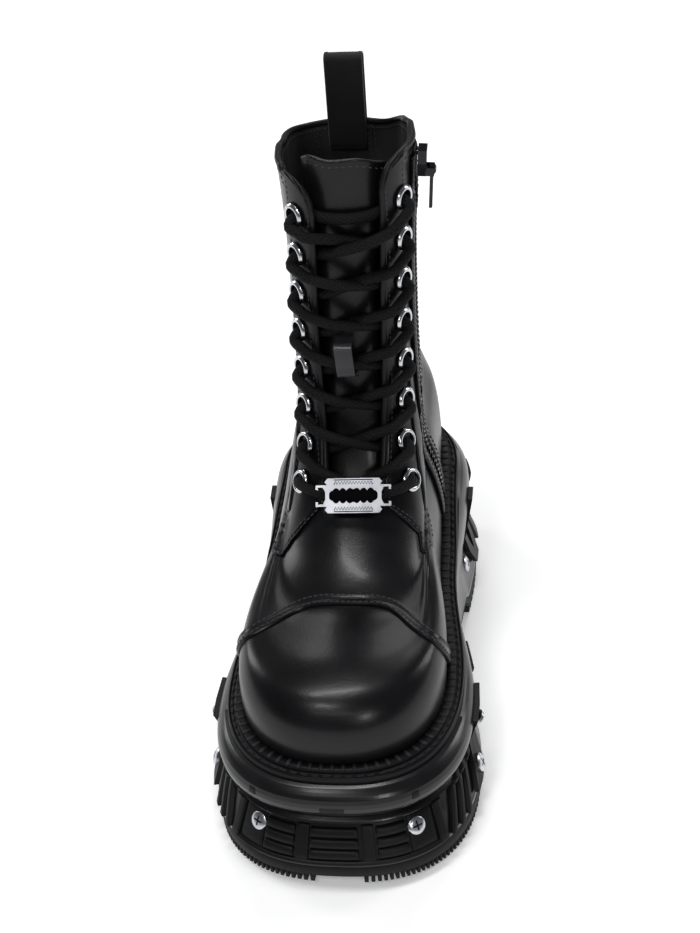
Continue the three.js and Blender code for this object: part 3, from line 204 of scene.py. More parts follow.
def plan_point(row, turn):
    """Half-width share and place along the boot of a closed outline, from the toe by +X to the heel."""
    side = np.where(turn <= 0.5, 1.0, -1.0)
    part = np.where(turn <= 0.5, turn, 1 - turn)
    nose_end = (row["front"] + row["nose"]) * HALF_LENGTH
    rear_start = (row["back"] - row["rear"]) * HALF_LENGTH
    toe = np.clip(part / NOSE_PART, 0, 1) * math.pi / 2
    heel = np.clip((part - REAR_PART) / (0.5 - REAR_PART), 0, 1) * math.pi / 2
    share = np.clip((part - NOSE_PART) / (REAR_PART - NOSE_PART), 0, 1)
    toe_power, heel_power = 2 / row["toe_form"], 2 / row["heel_form"]
    nose_width = row["ball"] * np.sin(toe) ** toe_power
    nose_y = nose_end - row["nose"] * HALF_LENGTH * np.clip(np.cos(toe), 0, 1) ** toe_power
    front_half = lerp(row["ball"], row["waist"], ease(share * 2))
    back_half = lerp(row["waist"], row["heel"], ease(share * 2 - 1))
    side_width = np.where(share < 0.5, front_half, back_half)
    rear_width = row["heel"] * np.clip(np.cos(heel), 0, 1) ** heel_power
    rear_y = rear_start + row["rear"] * HALF_LENGTH * np.sin(heel) ** heel_power
    in_nose, in_side = part < NOSE_PART, part < REAR_PART
    width = np.where(in_nose, nose_width, np.where(in_side, side_width, rear_width))
    y = np.where(in_nose, nose_y, np.where(in_side, lerp(nose_end, rear_start, share), rear_y))
    return side * width, y


def seat_height(y):
    """Height of the seat line, where the upper meets the welt, along the boot."""
    at = np.clip(np.asarray(y, float) / HALF_LENGTH, -1.2, 1.2)
    k = np.clip(np.searchsorted(SEAT_AT, at, side="right") - 1, 0, len(SEAT_AT) - 2)
    share = (at - SEAT_AT[k]) / (SEAT_AT[k + 1] - SEAT_AT[k])
    blend = 0.5 * share + 0.5 * ease(share)
    return TOE_SEAT + (HEEL_SEAT - TOE_SEAT) * lerp(SEAT_RISE[k], SEAT_RISE[k + 1], blend)


def floor_height(y):
    """Height of the sole's underside: the toe's spring and the arch in front of the heel."""
    spring = np.maximum(0, (-y - SPRING_START) / (HALF_LENGTH - SPRING_START))
    arch = ease((y - ARCH_FRONT) / ARCH_SLOPE) * ease((ARCH_BACK - y) / ARCH_SLOPE)
    return TOE_SPRING * spring**2 + ARCH_RISE * arch


def joint_height(y):
    """Height at which the platform stands on the outsole."""
    return OUTSOLE_TOP + 0.5 * floor_height(y)


def bed_height(y):
    """Height at which the welt lies on the platform."""
    return seat_height(y) - WELT_THICKNESS


def raised(plan, height):
    """Plan points with their heights."""
    return np.concatenate([plan, np.asarray(height)[..., None]], -1)


def outline_point(row, half, turn, out=0.0):
    """Plan point of a sole outline, set out from it along its own normal."""
    def place(at):
        x, y = plan_point(row, np.mod(at, 1))
        return np.stack([x * half, y], -1)
    along = unit(place(turn + OUTLINE_STEP) - place(turn - OUTLINE_STEP))
    return place(turn) + np.stack([along[..., 1], -along[..., 0]], -1) * np.asarray(out)[..., None]


# Side of the platform from its foot to the welt: height share, share of the way from tread to welt
SIDE_RISE, SIDE_INWARD = np.array([
    (0, 0), (0.05, 0), (0.08, 0.08), (0.28, 0.5), (0.45, 0.9), (0.47, 0.84), (0.49, 0.70), (0.51, 0.62),
    (0.53, 0.60), (0.55, 0.66), (0.58, 0.84), (0.60, 0.90), (0.62, 0.84), (0.65, 0.64), (0.69, 0.46),
    (0.74, 0.36), (0.80, 0.33), (0.85, 0.36), (0.90, 0.44), (0.94, 0.56), (0.97, 0.68), (1.0, 0.84),
]).T


def platform_point(turn, rise, out=0.0):
    """A point on the platform's side wall, set out from it sideways."""
    inward = np.interp(rise, SIDE_RISE, SIDE_INWARD)[..., None]
    tread, welt = outline_point(TREAD, SOLE_HALF, turn, out), outline_point(WELT, WELT_HALF, turn, out)
    p = tread * (1 - inward) + welt * inward
    return raised(p, lerp(joint_height(p[..., 1]), bed_height(p[..., 1]), rise))


def loop_at(level):
    """The loop of the upper at any level between the given ones."""
    t = np.clip(level, 0, TOP_LOOP)
    k = np.minimum(t.astype(int), TOP_LOOP - 1)
    near = (LOOPS[np.clip(k + i, 0, TOP_LOOP)] for i in (-1, 0, 1, 2))
    values = spline(*near, (t - k)[..., None])
    row = {key: values[..., i] for i, key in enumerate(LOOP_KEYS)}
    row.update(toe_form=2.3, heel_form=2.2)
    return row


def upper_base(level, turn):
    """A point of the upper's smooth outer face, by level up the loops and turn round them."""
    level, turn = np.broadcast_arrays(np.asarray(level, float), np.mod(np.asarray(turn, float), 1.0))
    row = loop_at(level)
    x, y = plan_point(row, turn)
    x = x * UPPER_HALF
    front, back = row["front"] * HALF_LENGTH, row["back"] * HALF_LENGTH
    share = np.clip((y - front) / (back - front), 0, 1)
    root = np.sqrt(share + RIDGE * (1 - share)) - math.sqrt(RIDGE) * (1 - share)
    dip = row["dip"] * 4 * root * (1 - root)
    z = seat_height(y) + SHAFT_RISE * (lerp(row["front_rise"], row["back_rise"], share) - dip)
    z = z + row["tilt"] * x / UPPER_HALF / 0.62
    z = z - REAR_DROP * ease((level - 12.4) / 1.6) * np.exp(-((turn - 0.42) / 0.06) ** 2)
    spin = np.radians(row["spin"])
    y = y - SHAFT_AXIS_Y
    across, along = x * np.cos(spin) - y * np.sin(spin), x * np.sin(spin) + y * np.cos(spin)
    return np.stack([across, SHAFT_AXIS_Y + along, z], -1)


def upper_normal(level, turn):
    """The direction in which the upper's face looks."""
    level, turn = np.broadcast_arrays(np.asarray(level, float), np.asarray(turn, float))
    low, high = np.maximum(level - 0.03, 0), np.minimum(level + 0.03, TOP_LOOP)
    up = upper_base(high, turn) - upper_base(low, turn)
    around = upper_base(low, turn + 0.006) - upper_base(low, turn - 0.006)
    return unit(np.cross(around, up))


# Folds placed on the upper: level, turn, reach in level, reach in turn, slope, height in mm
CREASES = (
    (4.6, 0.235, 0.10, 0.05, 9, -0.7), (4.9, 0.235, 0.10, 0.05, 9, 0.5), (5.4, 0.225, 0.12, 0.045, 12, -0.6),
    (4.6, 0.765, 0.10, 0.05, -9, -0.7), (4.9, 0.765, 0.10, 0.05, -9, 0.5),
    (5.4, 0.775, 0.12, 0.045, -12, -0.6), (8.6, 0.24, 0.14, 0.06, 8, -0.7), (9.0, 0.24, 0.14, 0.06, 8, 0.6),
    (8.6, 0.76, 0.14, 0.06, -8, -0.7), (9.0, 0.76, 0.14, 0.06, -8, 0.6), (9.6, 0.30, 0.16, 0.05, -6, -0.6),
    (9.6, 0.70, 0.16, 0.05, 6, -0.6), (13.4, 0.165, 0.16, 0.035, 10, -1.0),
    (13.0, 0.175, 0.16, 0.035, 10, 0.6), (11.3, 0.36, 0.20, 0.05, -4, -0.5),
    (11.3, 0.64, 0.20, 0.05, 4, -0.5), (6.6, 0.02, 0.25, 0.05, 3, -0.35), (6.9, 0.97, 0.25, 0.05, -3, -0.3),
)


def crease(level, turn):
    """How far the folds move the face outward at a place."""
    total = np.zeros(np.shape(level))
    for at, centre, reach, width, slope, height in CREASES:
        away = np.mod(turn - centre + 0.5, 1.0) - 0.5
        total = total + height * np.exp(-((level - at - slope * away) / reach) ** 2 - (away / width) ** 2)
    return total


def upper_point(level, turn, out=0.0):
    """A point of the upper's outer face, set out along the face's normal."""
    out = np.asarray(out, float) + crease(level, turn)
    return upper_base(level, turn) + upper_normal(level, turn) * out[..., None]


# Flap outlines as level and turn, from the throat's foot to the tip and on up the rear edge
FLAP_BOTTOM = {
    1: ((8.12, 0.036), (7.815, 0.069), (7.414, 0.107), (6.8, 0.155), (5.6, 0.197), (4.3, 0.222),
        (3.0, 0.2405)),
    -1: ((8.03, 0.062), (7.703, 0.086), (7.314, 0.113), (6.752, 0.148), (6.0, 0.182), (5.0, 0.206),
         (3.9, 0.224)),
}
FLAP_REAR = {
    1: ((3.0, 0.2405), (3.5, 0.249), (4.4, 0.249), (5.456, 0.238), (6.7, 0.200), (7.972, 0.156),
        (8.81, 0.137), (9.656, 0.124), (10.685, 0.116), (12.363, 0.113), (13.99, 0.106)),
    -1: ((3.9, 0.224), (4.4, 0.234), (5.0, 0.235), (6.035, 0.222), (7.0, 0.185), (7.973, 0.153),
         (8.642, 0.140), (9.404, 0.131), (10.147, 0.130), (10.929, 0.129), (12.593, 0.122), (13.99, 0.120)),
}


def resample(points, shares):
    """Points at even shares along a polyline of level and turn."""
    p = np.asarray(points, float)
    run = run_along(p * (1, TURN_WEIGHT))
    return read_path(shares * run[-1], run, p)


def flap_grid(side, columns=30, rows=150):
    """Level and turn of a quarter flap's grid: rows from its lower edge up, columns from the throat back."""
    a, b = np.linspace(0, 1, columns + 1), np.linspace(0, 1, rows + 1)
    bottom, rear = resample(FLAP_BOTTOM[side], a), resample(FLAP_REAR[side], b)
    heights = lerp(THROAT_FOOT + 1.5, CORNERS[side], b)
    turn = np.full(b.shape, 0.05)
    for _ in range(6):
        level = level_at(whole_turn(turn, side), heights, 5)
        turn = throat_turn(level, side)
    inner = np.stack([level, turn], -1)
    turn = lerp(inner[-1, 1], rear[-1, 1], a)
    level = np.full(a.shape, float(TOP_LOOP))
    for _ in range(5):
        away = from_throat(upper_base(level, whole_turn(turn, side)))
        limit = np.where(away < CORNER_REACH, corner_height(away, side), NO_LIMIT)
        level = level_at(whole_turn(turn, side), limit, 8)
    top = np.stack([level, turn], -1)
    inner[0], top[0] = bottom[0], inner[-1]
    u, v = a[None, :, None], b[:, None, None]
    corners = (1 - v) * lerp(bottom[0], bottom[-1], u) + v * lerp(top[0], top[-1], u)
    grid = (1 - v) * bottom[None] + v * top[None] + (1 - u) * inner[:, None] + u * rear[:, None] - corners
    return grid[..., 0], whole_turn(grid[..., 1], side)


def throat_centre(z):
    """Sideways place of the throat's middle, which leans to the medial side near the collar."""
    return lerp(THROAT_FOOT_X, THROAT_TOP_X, ease((np.asarray(z, float) - LEAN_FROM) / LEAN_RUN))


def throat_half(z):
    """Half the throat's width at a height."""
    heights = (THROAT_FOOT, THROAT_FOOT + 5, LEAN_FROM)
    return np.interp(z, heights, (THROAT_FOOT_HALF, THROAT_FOOT_HALF, THROAT_HALF))


def from_throat(point):
    """How far a point of the upper lies sideways from the throat's edge."""
    return np.abs(point[..., 0] - throat_centre(point[..., 2])) - throat_half(point[..., 2])


def bisect(low, high, below, rounds=22):
    """Narrows arrays low and high to where below(middle) turns false."""
    for _ in range(rounds):
        middle = (low + high) / 2
        is_below = below(middle)
        low, high = np.where(is_below, middle, low), np.where(is_below, high, middle)
    return (low + high) / 2


def level_at(turn, height, lowest):
    """Level at which the upper reaches a height, at each turn."""
    low = np.full(np.shape(turn), float(lowest))
    return bisect(low, np.full(low.shape, float(TOP_LOOP)), lambda m: upper_base(m, turn)[..., 2] < height)


def whole_turn(turn, side):
    """Turn round the whole outline, from a turn that is counted up its own side."""
    return np.where(np.asarray(side) > 0, turn, 1 - np.asarray(turn))


def locate_front(x, z):
    """Level and turn of points of the upper's front from their sideways places and heights."""
    x, z = np.broadcast_arrays(np.asarray(x, float), np.asarray(z, float))
    centre = throat_centre(z)
    side = np.where(x >= centre, 1, -1)
    turn = np.full(x.shape, 0.08)

    def is_nearer(turn):
        """Whether the upper at a turn lies nearer to the throat's middle than the point does."""
        return np.abs(upper_base(level, whole_turn(turn, side))[..., 0] - centre) < np.abs(x - centre)

    for _ in range(LOCATE_ROUNDS):
        level = level_at(whole_turn(turn, side), z, 4)
        turn = bisect(np.zeros(x.shape), np.full(x.shape, 0.27), is_nearer)
    return level, whole_turn(turn, side)


def locate_side(y, z, side=1):
    """Level and turn of points on the upper's side from their places along the boot and heights."""
    y, z = np.broadcast_arrays(np.asarray(y, float), np.asarray(z, float))
    turn = np.full(y.shape, 0.25)
    for _ in range(LOCATE_ROUNDS):
        level = level_at(whole_turn(turn, side), z, 0)
        turn = bisect(np.full(y.shape, 0.02), np.full(y.shape, 0.48),
                      lambda m: upper_base(level, whole_turn(m, side))[..., 1] < y)
    return level, whole_turn(turn, side)


def front_point(x, z, out=0.0):
    """A point of the upper's front, by its sideways place, height and distance off the leather."""
    return upper_point(*locate_front(x, z), out)


def smooth_path(points, step):
    """Even points, step apart, on a smooth curve through the given ones."""
    p = np.asarray(points, float)
    p = np.concatenate([[2 * p[0] - p[1]], p, [2 * p[-1] - p[-2]]])
    shares = np.linspace(0, 1, 24, endpoint=False)
    fine = [spline(*near, s) for near in zip(p, p[1:], p[2:], p[3:]) for s in shares]
    return even_path(np.array(fine + [p[-2]]), step)


def even_path(points, step):
    """The same path with its points a step apart."""
    run = run_along(points)
    count = max(int(round(run[-1] / step)), 2)
    return read_path(np.linspace(0, run[-1], count + 1), run, points)


# Meshes


def grid_mesh(points):
    """A sheet of faces through rows and columns of points."""
    rows, columns = points.shape[:2]
    bm = bmesh.new()
    bm.loops.layers.uv.new("UVMap")
    bmesh.ops.create_grid(bm, x_segments=columns - 1, y_segments=rows - 1, size=1, calc_uvs=True)
    for v in bm.verts:
        i = round((v.co.x + 1) / 2 * (columns - 1))
        j = round((v.co.y + 1) / 2 * (rows - 1))
        v.co = Vector(points[j, i]) * MM
    return bm


def tube_mesh(path, radius, sides=10, up=(0, 0, 1)):
    """A round tube along a path, its ends rounded. Its UVs run round it and, in metres, along it."""
    path = np.asarray(path, float)
    tangent = unit(np.gradient(path, axis=0))
    head = [path[0] - tangent[0] * radius * step for step in END_STEPS]
    tail = [path[-1] + tangent[-1] * radius * step for step in END_STEPS[::-1]]
    radii = np.concatenate([END_RADII, np.ones(len(path)), END_RADII[::-1]]) * radius
    path = np.concatenate([head, path, tail])
    tangent = np.concatenate([[tangent[0]] * len(head), tangent, [tangent[-1]] * len(tail)])
    across = unit(np.cross(np.broadcast_to(np.asarray(up, float), path.shape), tangent))
    rise = np.cross(tangent, across)
    angle = np.linspace(0, 2 * math.pi, sides + 1)
    ring = across[:, None] * np.cos(angle)[None, :, None] + rise[:, None] * np.sin(angle)[None, :, None]
    bm = grid_mesh(path[:, None] + ring * radii[:, None, None])
    run = run_along(path) * MM
    uv = bm.loops.layers.uv.active
    for face in bm.faces:
        for loop in face.loops:
            u, v = loop[uv].uv
            loop[uv].uv = (u, float(np.interp(v * (len(run) - 1), range(len(run)), run)))
    bmesh.ops.remove_doubles(bm, verts=bm.verts, dist=2e-5)
    bmesh.ops.recalc_face_normals(bm, faces=bm.faces)
    return bm


def wall(thickness, **settings):
    """A Solidify modifier that gives an open sheet its thickness inwards."""
    return "SOLIDIFY", {"thickness": thickness, "offset": -1, **settings}


def block_mesh(place, columns, rows, low, high, bevel=0.0, segments=2):
    """A block laid on a surface: place(u, v, out) gives its points for u and v from 0 to 1."""
    bm = bmesh.new()
    bmesh.ops.create_grid(bm, x_segments=columns, y_segments=rows, size=0.5)
    bmesh.ops.translate(bm, verts=bm.verts, vec=(0.5, 0.5, 0))
    top = bmesh.ops.extrude_face_region(bm, geom=bm.faces[:])
    raised = [g for g in top["geom"] if isinstance(g, bmesh.types.BMVert)]
    bmesh.ops.translate(bm, verts=raised, vec=(0, 0, 1))
    flat = np.array([v.co[:] for v in bm.verts])
    edge = [e for e in bm.edges
            if all(v.co.z > 0.5 for v in e.verts)
            and any(abs(f.normal.z) < 0.5 for f in e.link_faces)]
    corner = [e for e in bm.edges if abs(e.verts[0].co.z - e.verts[1].co.z) > 0.5
              and all(v.co.x in (0.0, 1.0) and v.co.y in (0.0, 1.0) for v in e.verts)]
    points = place(flat[:, 0], flat[:, 1], lerp(low, high, flat[:, 2]))
    for v, p in zip(bm.verts, points):
        v.co = Vector(p) * MM
    bmesh.ops.recalc_face_normals(bm, faces=bm.faces)
    if bevel:
        bmesh.ops.bevel(bm, geom=edge + corner, offset=bevel * MM, offset_type="OFFSET", segments=segments,
                        profile=0.5, affect="EDGES", clamp_overlap=True, material=-1)
    return bm


def join_into(bm, other):
    """Adds a mesh to another and frees it."""
    mesh = bpy.data.meshes.new("part")
    other.to_mesh(mesh)
    other.free()
    bm.from_mesh(mesh)
    bpy.data.meshes.remove(mesh)


def joined(parts):
    """One mesh from several."""
    bm = bmesh.new()
    bm.loops.layers.uv.new("UVMap")
    for part in parts:
        join_into(bm, part)
    return bm


def frame_at(point, normal, along):
    """Matrix in metres with its Z on a normal and its X as near as can be to a direction."""
    z = unit(np.asarray(normal, float))
    y = unit(np.cross(z, along))
    x = np.cross(y, z)
    m = Matrix.Identity(4)
    for i in range(3):
        for j, axis in enumerate((x, y, z)):
            m[i][j] = axis[i]
        m[i][3] = point[i] * MM
    return m


def node_centre(name):
    """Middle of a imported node's box, in millimetres."""
    low, high = (np.array(corner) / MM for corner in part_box(name))
    return (low + high) / 2


def finish_piece(bm, name, finishes, stands_for=(), modifiers=()):
    """Makes the piece's object at the origin, gives it its finish and puts it on the boot's body."""
    mesh = bpy.data.meshes.new(name)
    bm.to_mesh(mesh)
    bm.free()
    for polygon in mesh.polygons:
        polygon.use_smooth = True
    mesh.set_sharp_from_angle(angle=SHARP_EDGE)
    for key in finishes:
        mesh.materials.append(finish(key))
    piece = bpy.data.objects.new(name, mesh)
    bpy.context.scene.collection.objects.link(piece)
    for kind, settings in modifiers:
        modifier = piece.modifiers.new(kind.title(), kind)
        for key, value in settings.items():
            setattr(modifier, key, value)
    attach(piece, BOOT)
    if stands_for:
        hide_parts(*stands_for)
    return piece


def stitch_row(bm, points, normals, pitch, length, width, height, lift=0.0):
    """Short threads along a path, each an elongated bead laid on the face."""
    run = run_along(points)
    count = max(int(run[-1] / pitch), 1)
    at = (np.arange(count) + 0.5) * run[-1] / count
    place, normal = read_path(at, run, points), unit(read_path(at, run, normals))
    along = unit(read_path(at + 0.5, run, points) - read_path(at - 0.5, run, points))
    spots = [(p + n * lift, n, t) for p, n, t in zip(place, normal, along)]
    scatter(bm, bead_mesh(), spots, (length, width, height))


def bead_mesh():
    """A small bead of length 1 along X."""
    bead = bmesh.new()
    bmesh.ops.create_uvsphere(bead, u_segments=6, v_segments=4, radius=0.5)
    bmesh.ops.rotate(bead, verts=bead.verts, cent=(0, 0, 0), matrix=Matrix.Rotation(math.pi / 2, 3, "Y"))
    return bead


def scatter(bm, pattern, spots, size):
    """Adds a scaled copy of a pattern at each spot: point, normal and direction."""
    mesh = bpy.data.meshes.new("pattern")
    pattern.to_mesh(mesh)
    pattern.free()
    scale = Matrix.Diagonal((*(s * MM for s in size), 1))
    for point, normal, along in spots:
        place = frame_at(point, normal, along) @ scale
        mesh.transform(place)
        bm.from_mesh(mesh)
        mesh.transform(place.inverted())
    bpy.data.meshes.remove(mesh)


# Finishes


class Value:
    """A shader socket that can be used in sums and products."""

    def __init__(self, tree, socket):
        self.tree, self.socket = tree, socket

    def _maths(self, operation, a, b):
        return self.tree.node("ShaderNodeMath", {"operation": operation}, {0: a, 1: b})

    def __add__(self, other):
        return self._maths("ADD", self, other)

    __radd__ = __add__

    def __mul__(self, other):
        return self._maths("MULTIPLY", self, other)

    __rmul__ = __mul__

    def __sub__(self, other):
        return self._maths("SUBTRACT", self, other)

    def __rsub__(self, other):
        return self._maths("SUBTRACT", other, self)


class Finish:
    """A material under construction: its nodes, and the sockets of its shader."""

    def __init__(self, name):
        self.material = bpy.data.materials.new(name)
        self.material.use_nodes = True
        self.nodes = self.material.node_tree.nodes
        self.links = self.material.node_tree.links
        self.shader = self.nodes["Principled BSDF"]

    def node(self, kind, settings=None, sockets=None, output=0):
        """Adds a node, sets it up, feeds its sockets and returns one of its outputs."""
        made = self.nodes.new(kind)
        for key, value in (settings or {}).items():
            if key == "stops":
                ramp = made.color_ramp
                for i, (at, colour) in enumerate(value):
                    stop = ramp.elements[i] if i < len(ramp.elements) else ramp.elements.new(at)
                    stop.position, stop.color = at, colour
            else:
                setattr(made, key, value)
        for key, value in (sockets or {}).items():
            self.feed(made.inputs[key], value)
        return Value(self, made.outputs[output])

    def feed(self, socket, value):
        """Links a socket, or sets it to a constant."""
        if isinstance(value, Value):
            self.links.new(value.socket, socket)
        else:
            socket.default_value = value

    def set(self, **sockets):
        """Feeds the shader's sockets, named in lower case with underscores."""
        for key, value in sockets.items():
            self.feed(self.shader.inputs[key.replace("_", " ").title().replace("Ior", "IOR")], value)
        return self

    def place(self, kind="Object"):
        """Texture coordinates of the object, or of its UV map."""
        return self.node("ShaderNodeTexCoord", output=kind)

    def axes(self, vector):
        """The first, second and third number of a vector."""
        split = self.node("ShaderNodeSeparateXYZ", {}, {0: vector})
        return [Value(self, output) for output in split.socket.node.outputs]

    def wave(self, value):
        """Sine of a value."""
        return self.node("ShaderNodeMath", {"operation": "SINE"}, {0: value})

    def noise(self, place, scale, detail=3.0, roughness=0.5):
        """Soft noise at a scale in waves per metre."""
        sockets = {"Vector": place, "Scale": scale, "Detail": detail, "Roughness": roughness}
        return self.node("ShaderNodeTexNoise", {}, sockets)

    def mask(self, value, low, high):
        """Black below one value and white above another."""
        return self.node("ShaderNodeValToRGB", {"stops": ((low, grey(0)), (high, grey(1)))}, {"Fac": value})

    def mix(self, factor, a, b):
        """A blend of two colours."""
        return self.node("ShaderNodeMix", {"data_type": "RGBA"}, {0: factor, 6: a, 7: b}, output=2)

    def bump(self, height, distance, strength):
        """Roughens the shader's normal by a height and returns the finished material."""
        sockets = {"Height": height, "Distance": distance, "Strength": strength}
        self.set(normal=self.node("ShaderNodeBump", {}, sockets))
        return self.material


def grey(level):
    """A grey with full cover."""
    return (level, level, level, 1)


def shade(colour, gain=1.0, lift=0.0):
    """A colour made lighter or darker, with full cover."""
    return (*(min(1, c * gain + lift) for c in colour), 1)


def leather(name, colour, roughness, grain=1.0, coat=0.12):
    """Smooth coated leather: fine pebble, faint cloudiness and slight wear."""
    f = Finish(name)
    place = f.place()
    pebble = f.node("ShaderNodeTexVoronoi", {"feature": "F1"}, {"Vector": place, "Scale": 1500})
    pores = f.noise(place, 900, 4)
    cloud = f.noise(place, 28, 3)
    soft = f.noise(place, 70, 2)
    f.set(base_color=f.mix(f.mask(cloud, 0.3, 0.72), shade(colour, 0.7), shade(colour, 1.55, 0.004)))
    f.set(roughness=roughness - 0.06 + cloud * 0.12 + pores * 0.05)
    f.set(coat_weight=coat, coat_roughness=0.15, specular_ior_level=0.42)
    return f.bump(pebble * 0.35 + pores * 0.4 + soft * 1.6, 0.00022, 0.42 * grain)


def rubber(name, colour, roughness, specular=0.36, coat=0.0):
    """Moulded rubber with a dusty bloom and fine mould texture."""
    f = Finish(name)
    place = f.place()
    fine = f.noise(place, 1800, 3)
    bloom = f.noise(place, 35, 4)
    flow = f.noise(place, 160, 2)
    f.set(base_color=f.mix(f.mask(bloom, 0.35, 0.75), shade(colour), shade(colour, 1.7, 0.004)))
    f.set(roughness=roughness - 0.08 + bloom * 0.16 + fine * 0.05, specular_ior_level=specular)
    f.set(coat_weight=coat, coat_roughness=0.2)
    return f.bump(fine * 0.5 + flow, 0.00025, 0.35)


def braid(name, colour, strands, lay, depth):
    """Round braided cord, its pattern following the cord's own length; the strands' crests are painted
    lighter, a painted highlight.
    """
    f = Finish(name)
    round_, along, _ = f.axes(f.place("UV"))
    one = f.wave((round_ * strands + along * lay) * (2 * math.pi))
    two = f.wave((round_ * strands - along * lay) * (2 * math.pi))
    weave_and_highlight = f.node("ShaderNodeMath", {"operation": "MAXIMUM"}, {0: one, 1: two})
    fuzz = f.noise(f.place(), 2600, 2)
    # The crests of the weave get the lighter colour: a painted highlight.
    f.set(base_color=f.mix(f.mask(weave_and_highlight, 0.0, 0.9), shade(colour), shade(colour, 1.8, 0.003)))
    f.set(roughness=0.6 + fuzz * 0.2, specular_ior_level=0.3)
    return f.bump(weave_and_highlight * 0.6 + fuzz * 0.5, depth, 0.6)


def webbing(name, colour):
    """Flat twill tape: fine slanted ribs with a soft sheen; the ribs' crests are painted lighter, a painted
    highlight.
    """
    f = Finish(name)
    place = f.place()
    x, _, z = f.axes(place)
    ribs = f.wave((z + x * 0.6) * (2 * math.pi / RIB_PITCH))
    fuzz = f.noise(place, 2400, 2)
    # Lighter colour on the rib crests: a painted highlight.
    f.set(base_color=f.mix(ribs * 0.5 + 0.5, shade(colour), shade(colour, 2.0, 0.004)))
    f.set(roughness=0.6 + fuzz * 0.2, sheen_weight=0.2, sheen_roughness=0.5)
    return f.bump(ribs * 0.5 + fuzz * 0.3, 0.0002, 0.5)


def metal(name, colour, roughness):
    """Polished or plated metal with fine scratches and smudges."""
    f = Finish(name)
    place = f.place()
    fine = f.noise(place, 700, 5, 0.7)
    smudge = f.noise(place, 120, 2)
    f.set(base_color=f.mix(f.mask(smudge, 0.4, 0.8), shade(colour), shade(colour, 0.8)))
    f.set(metallic=1.0, roughness=roughness + fine * 0.06 + smudge * 0.06)
    return f.bump(fine, 0.00004, 0.5)


def thread(name, colour):
    """Twisted thread with a waxy gloss; the lighter bands of its twist are a painted highlight."""
    f = Finish(name)
    sockets = {"Vector": f.place(), "Scale": 900.0}
    twist_and_highlight = f.node("ShaderNodeTexWave", {"bands_direction": "DIAGONAL"}, sockets)
    # Lighter colour on the bands of the twist: a painted highlight.
    f.set(base_color=f.mix(twist_and_highlight, shade(colour), shade(colour, 2.2, 0.01)), roughness=0.45 + twist_and_highlight * 0.15)
    return f.bump(twist_and_highlight, 0.0001, 0.5)


def finish(name):
    """The named finish, made from the scene's colours when it is first asked for."""
    if name not in MADE_FINISHES:
        c = bpy.context.scene.boot_finishes
        maker, *values = {
            "leather": (leather, "boot_leather", c.leather, c.leather_roughness),
            "tongue": (leather, "tongue_leather", c.leather, c.leather_roughness + 0.04, 1.5),
            # Grey leather for the keeper: the grey is a painted sheen.
            "satin": (leather, "satin_leather", (0.05, 0.05, 0.055), 0.34, 0.6, 0.1),
            "lining": (leather, "lining_leather", c.lining, 0.5, 1.4, 0.05),
            "edge": (leather, "edge_binding", c.leather, 0.45, 1.2, 0.1),
            "rubber": (rubber, "moulded_rubber", c.rubber, c.rubber_roughness),
            "tread": (rubber, "tread_rubber", c.rubber, c.rubber_roughness + 0.12),
            "bumper": (rubber, "gloss_rubber", c.rubber, c.rubber_roughness - 0.12, 0.5, 0.35),
            "lace": (braid, "lace_braid", c.lace, 8, 1 / 0.0032, 0.00035),
            "webbing": (webbing, "loop_webbing", c.lace),
            "steel": (metal, "polished_steel", c.steel, 0.16),
            "zinc": (metal, "screw_zinc", c.steel, 0.24),
            "black_metal": (metal, "black_nickel", (0.05, 0.05, 0.055), 0.1),
            # Near-black finish for the charm's zigzags and slot: painted shade of its grooves and slot.
            "engraving": (metal, "blackened_groove", (0.006, 0.006, 0.007), 0.5),
            "charm": (metal, "brushed_charm", (0.42, 0.43, 0.45), 0.3),
            "welt_thread": (thread, "waxed_thread", (0.012, 0.012, 0.014)),
            "thread": (thread, "bonded_thread", c.thread),
        }[name]
        MADE_FINISHES[name] = maker(*values)
    return MADE_FINISHES[name]


class BootSizes(bpy.types.PropertyGroup):
    """Sizes of the finished pieces."""

    wall: bpy.props.FloatProperty(
        name="Wall", description="Thickness of the upper's leather and lining", default=0.0022, **LENGTH)
    overlay: bpy.props.FloatProperty(
        name="Flap", description="Thickness of a quarter flap over the vamp", default=0.0013, **LENGTH)
    lace: bpy.props.FloatProperty(
        name="Lace", description="Diameter of the round lace", default=0.0055, **LENGTH)
    eyelet: bpy.props.FloatProperty(
        name="Eyelet", description="Outer diameter of an eyelet", default=0.0126, **LENGTH)
    eyelet_hole: bpy.props.FloatProperty(
        name="Eyelet hole", description="Diameter of an eyelet's hole", default=0.0074, **LENGTH)
    stitch: bpy.props.FloatProperty(
        name="Stitch", description="Distance from one stitch to the next", default=0.0028, **LENGTH)


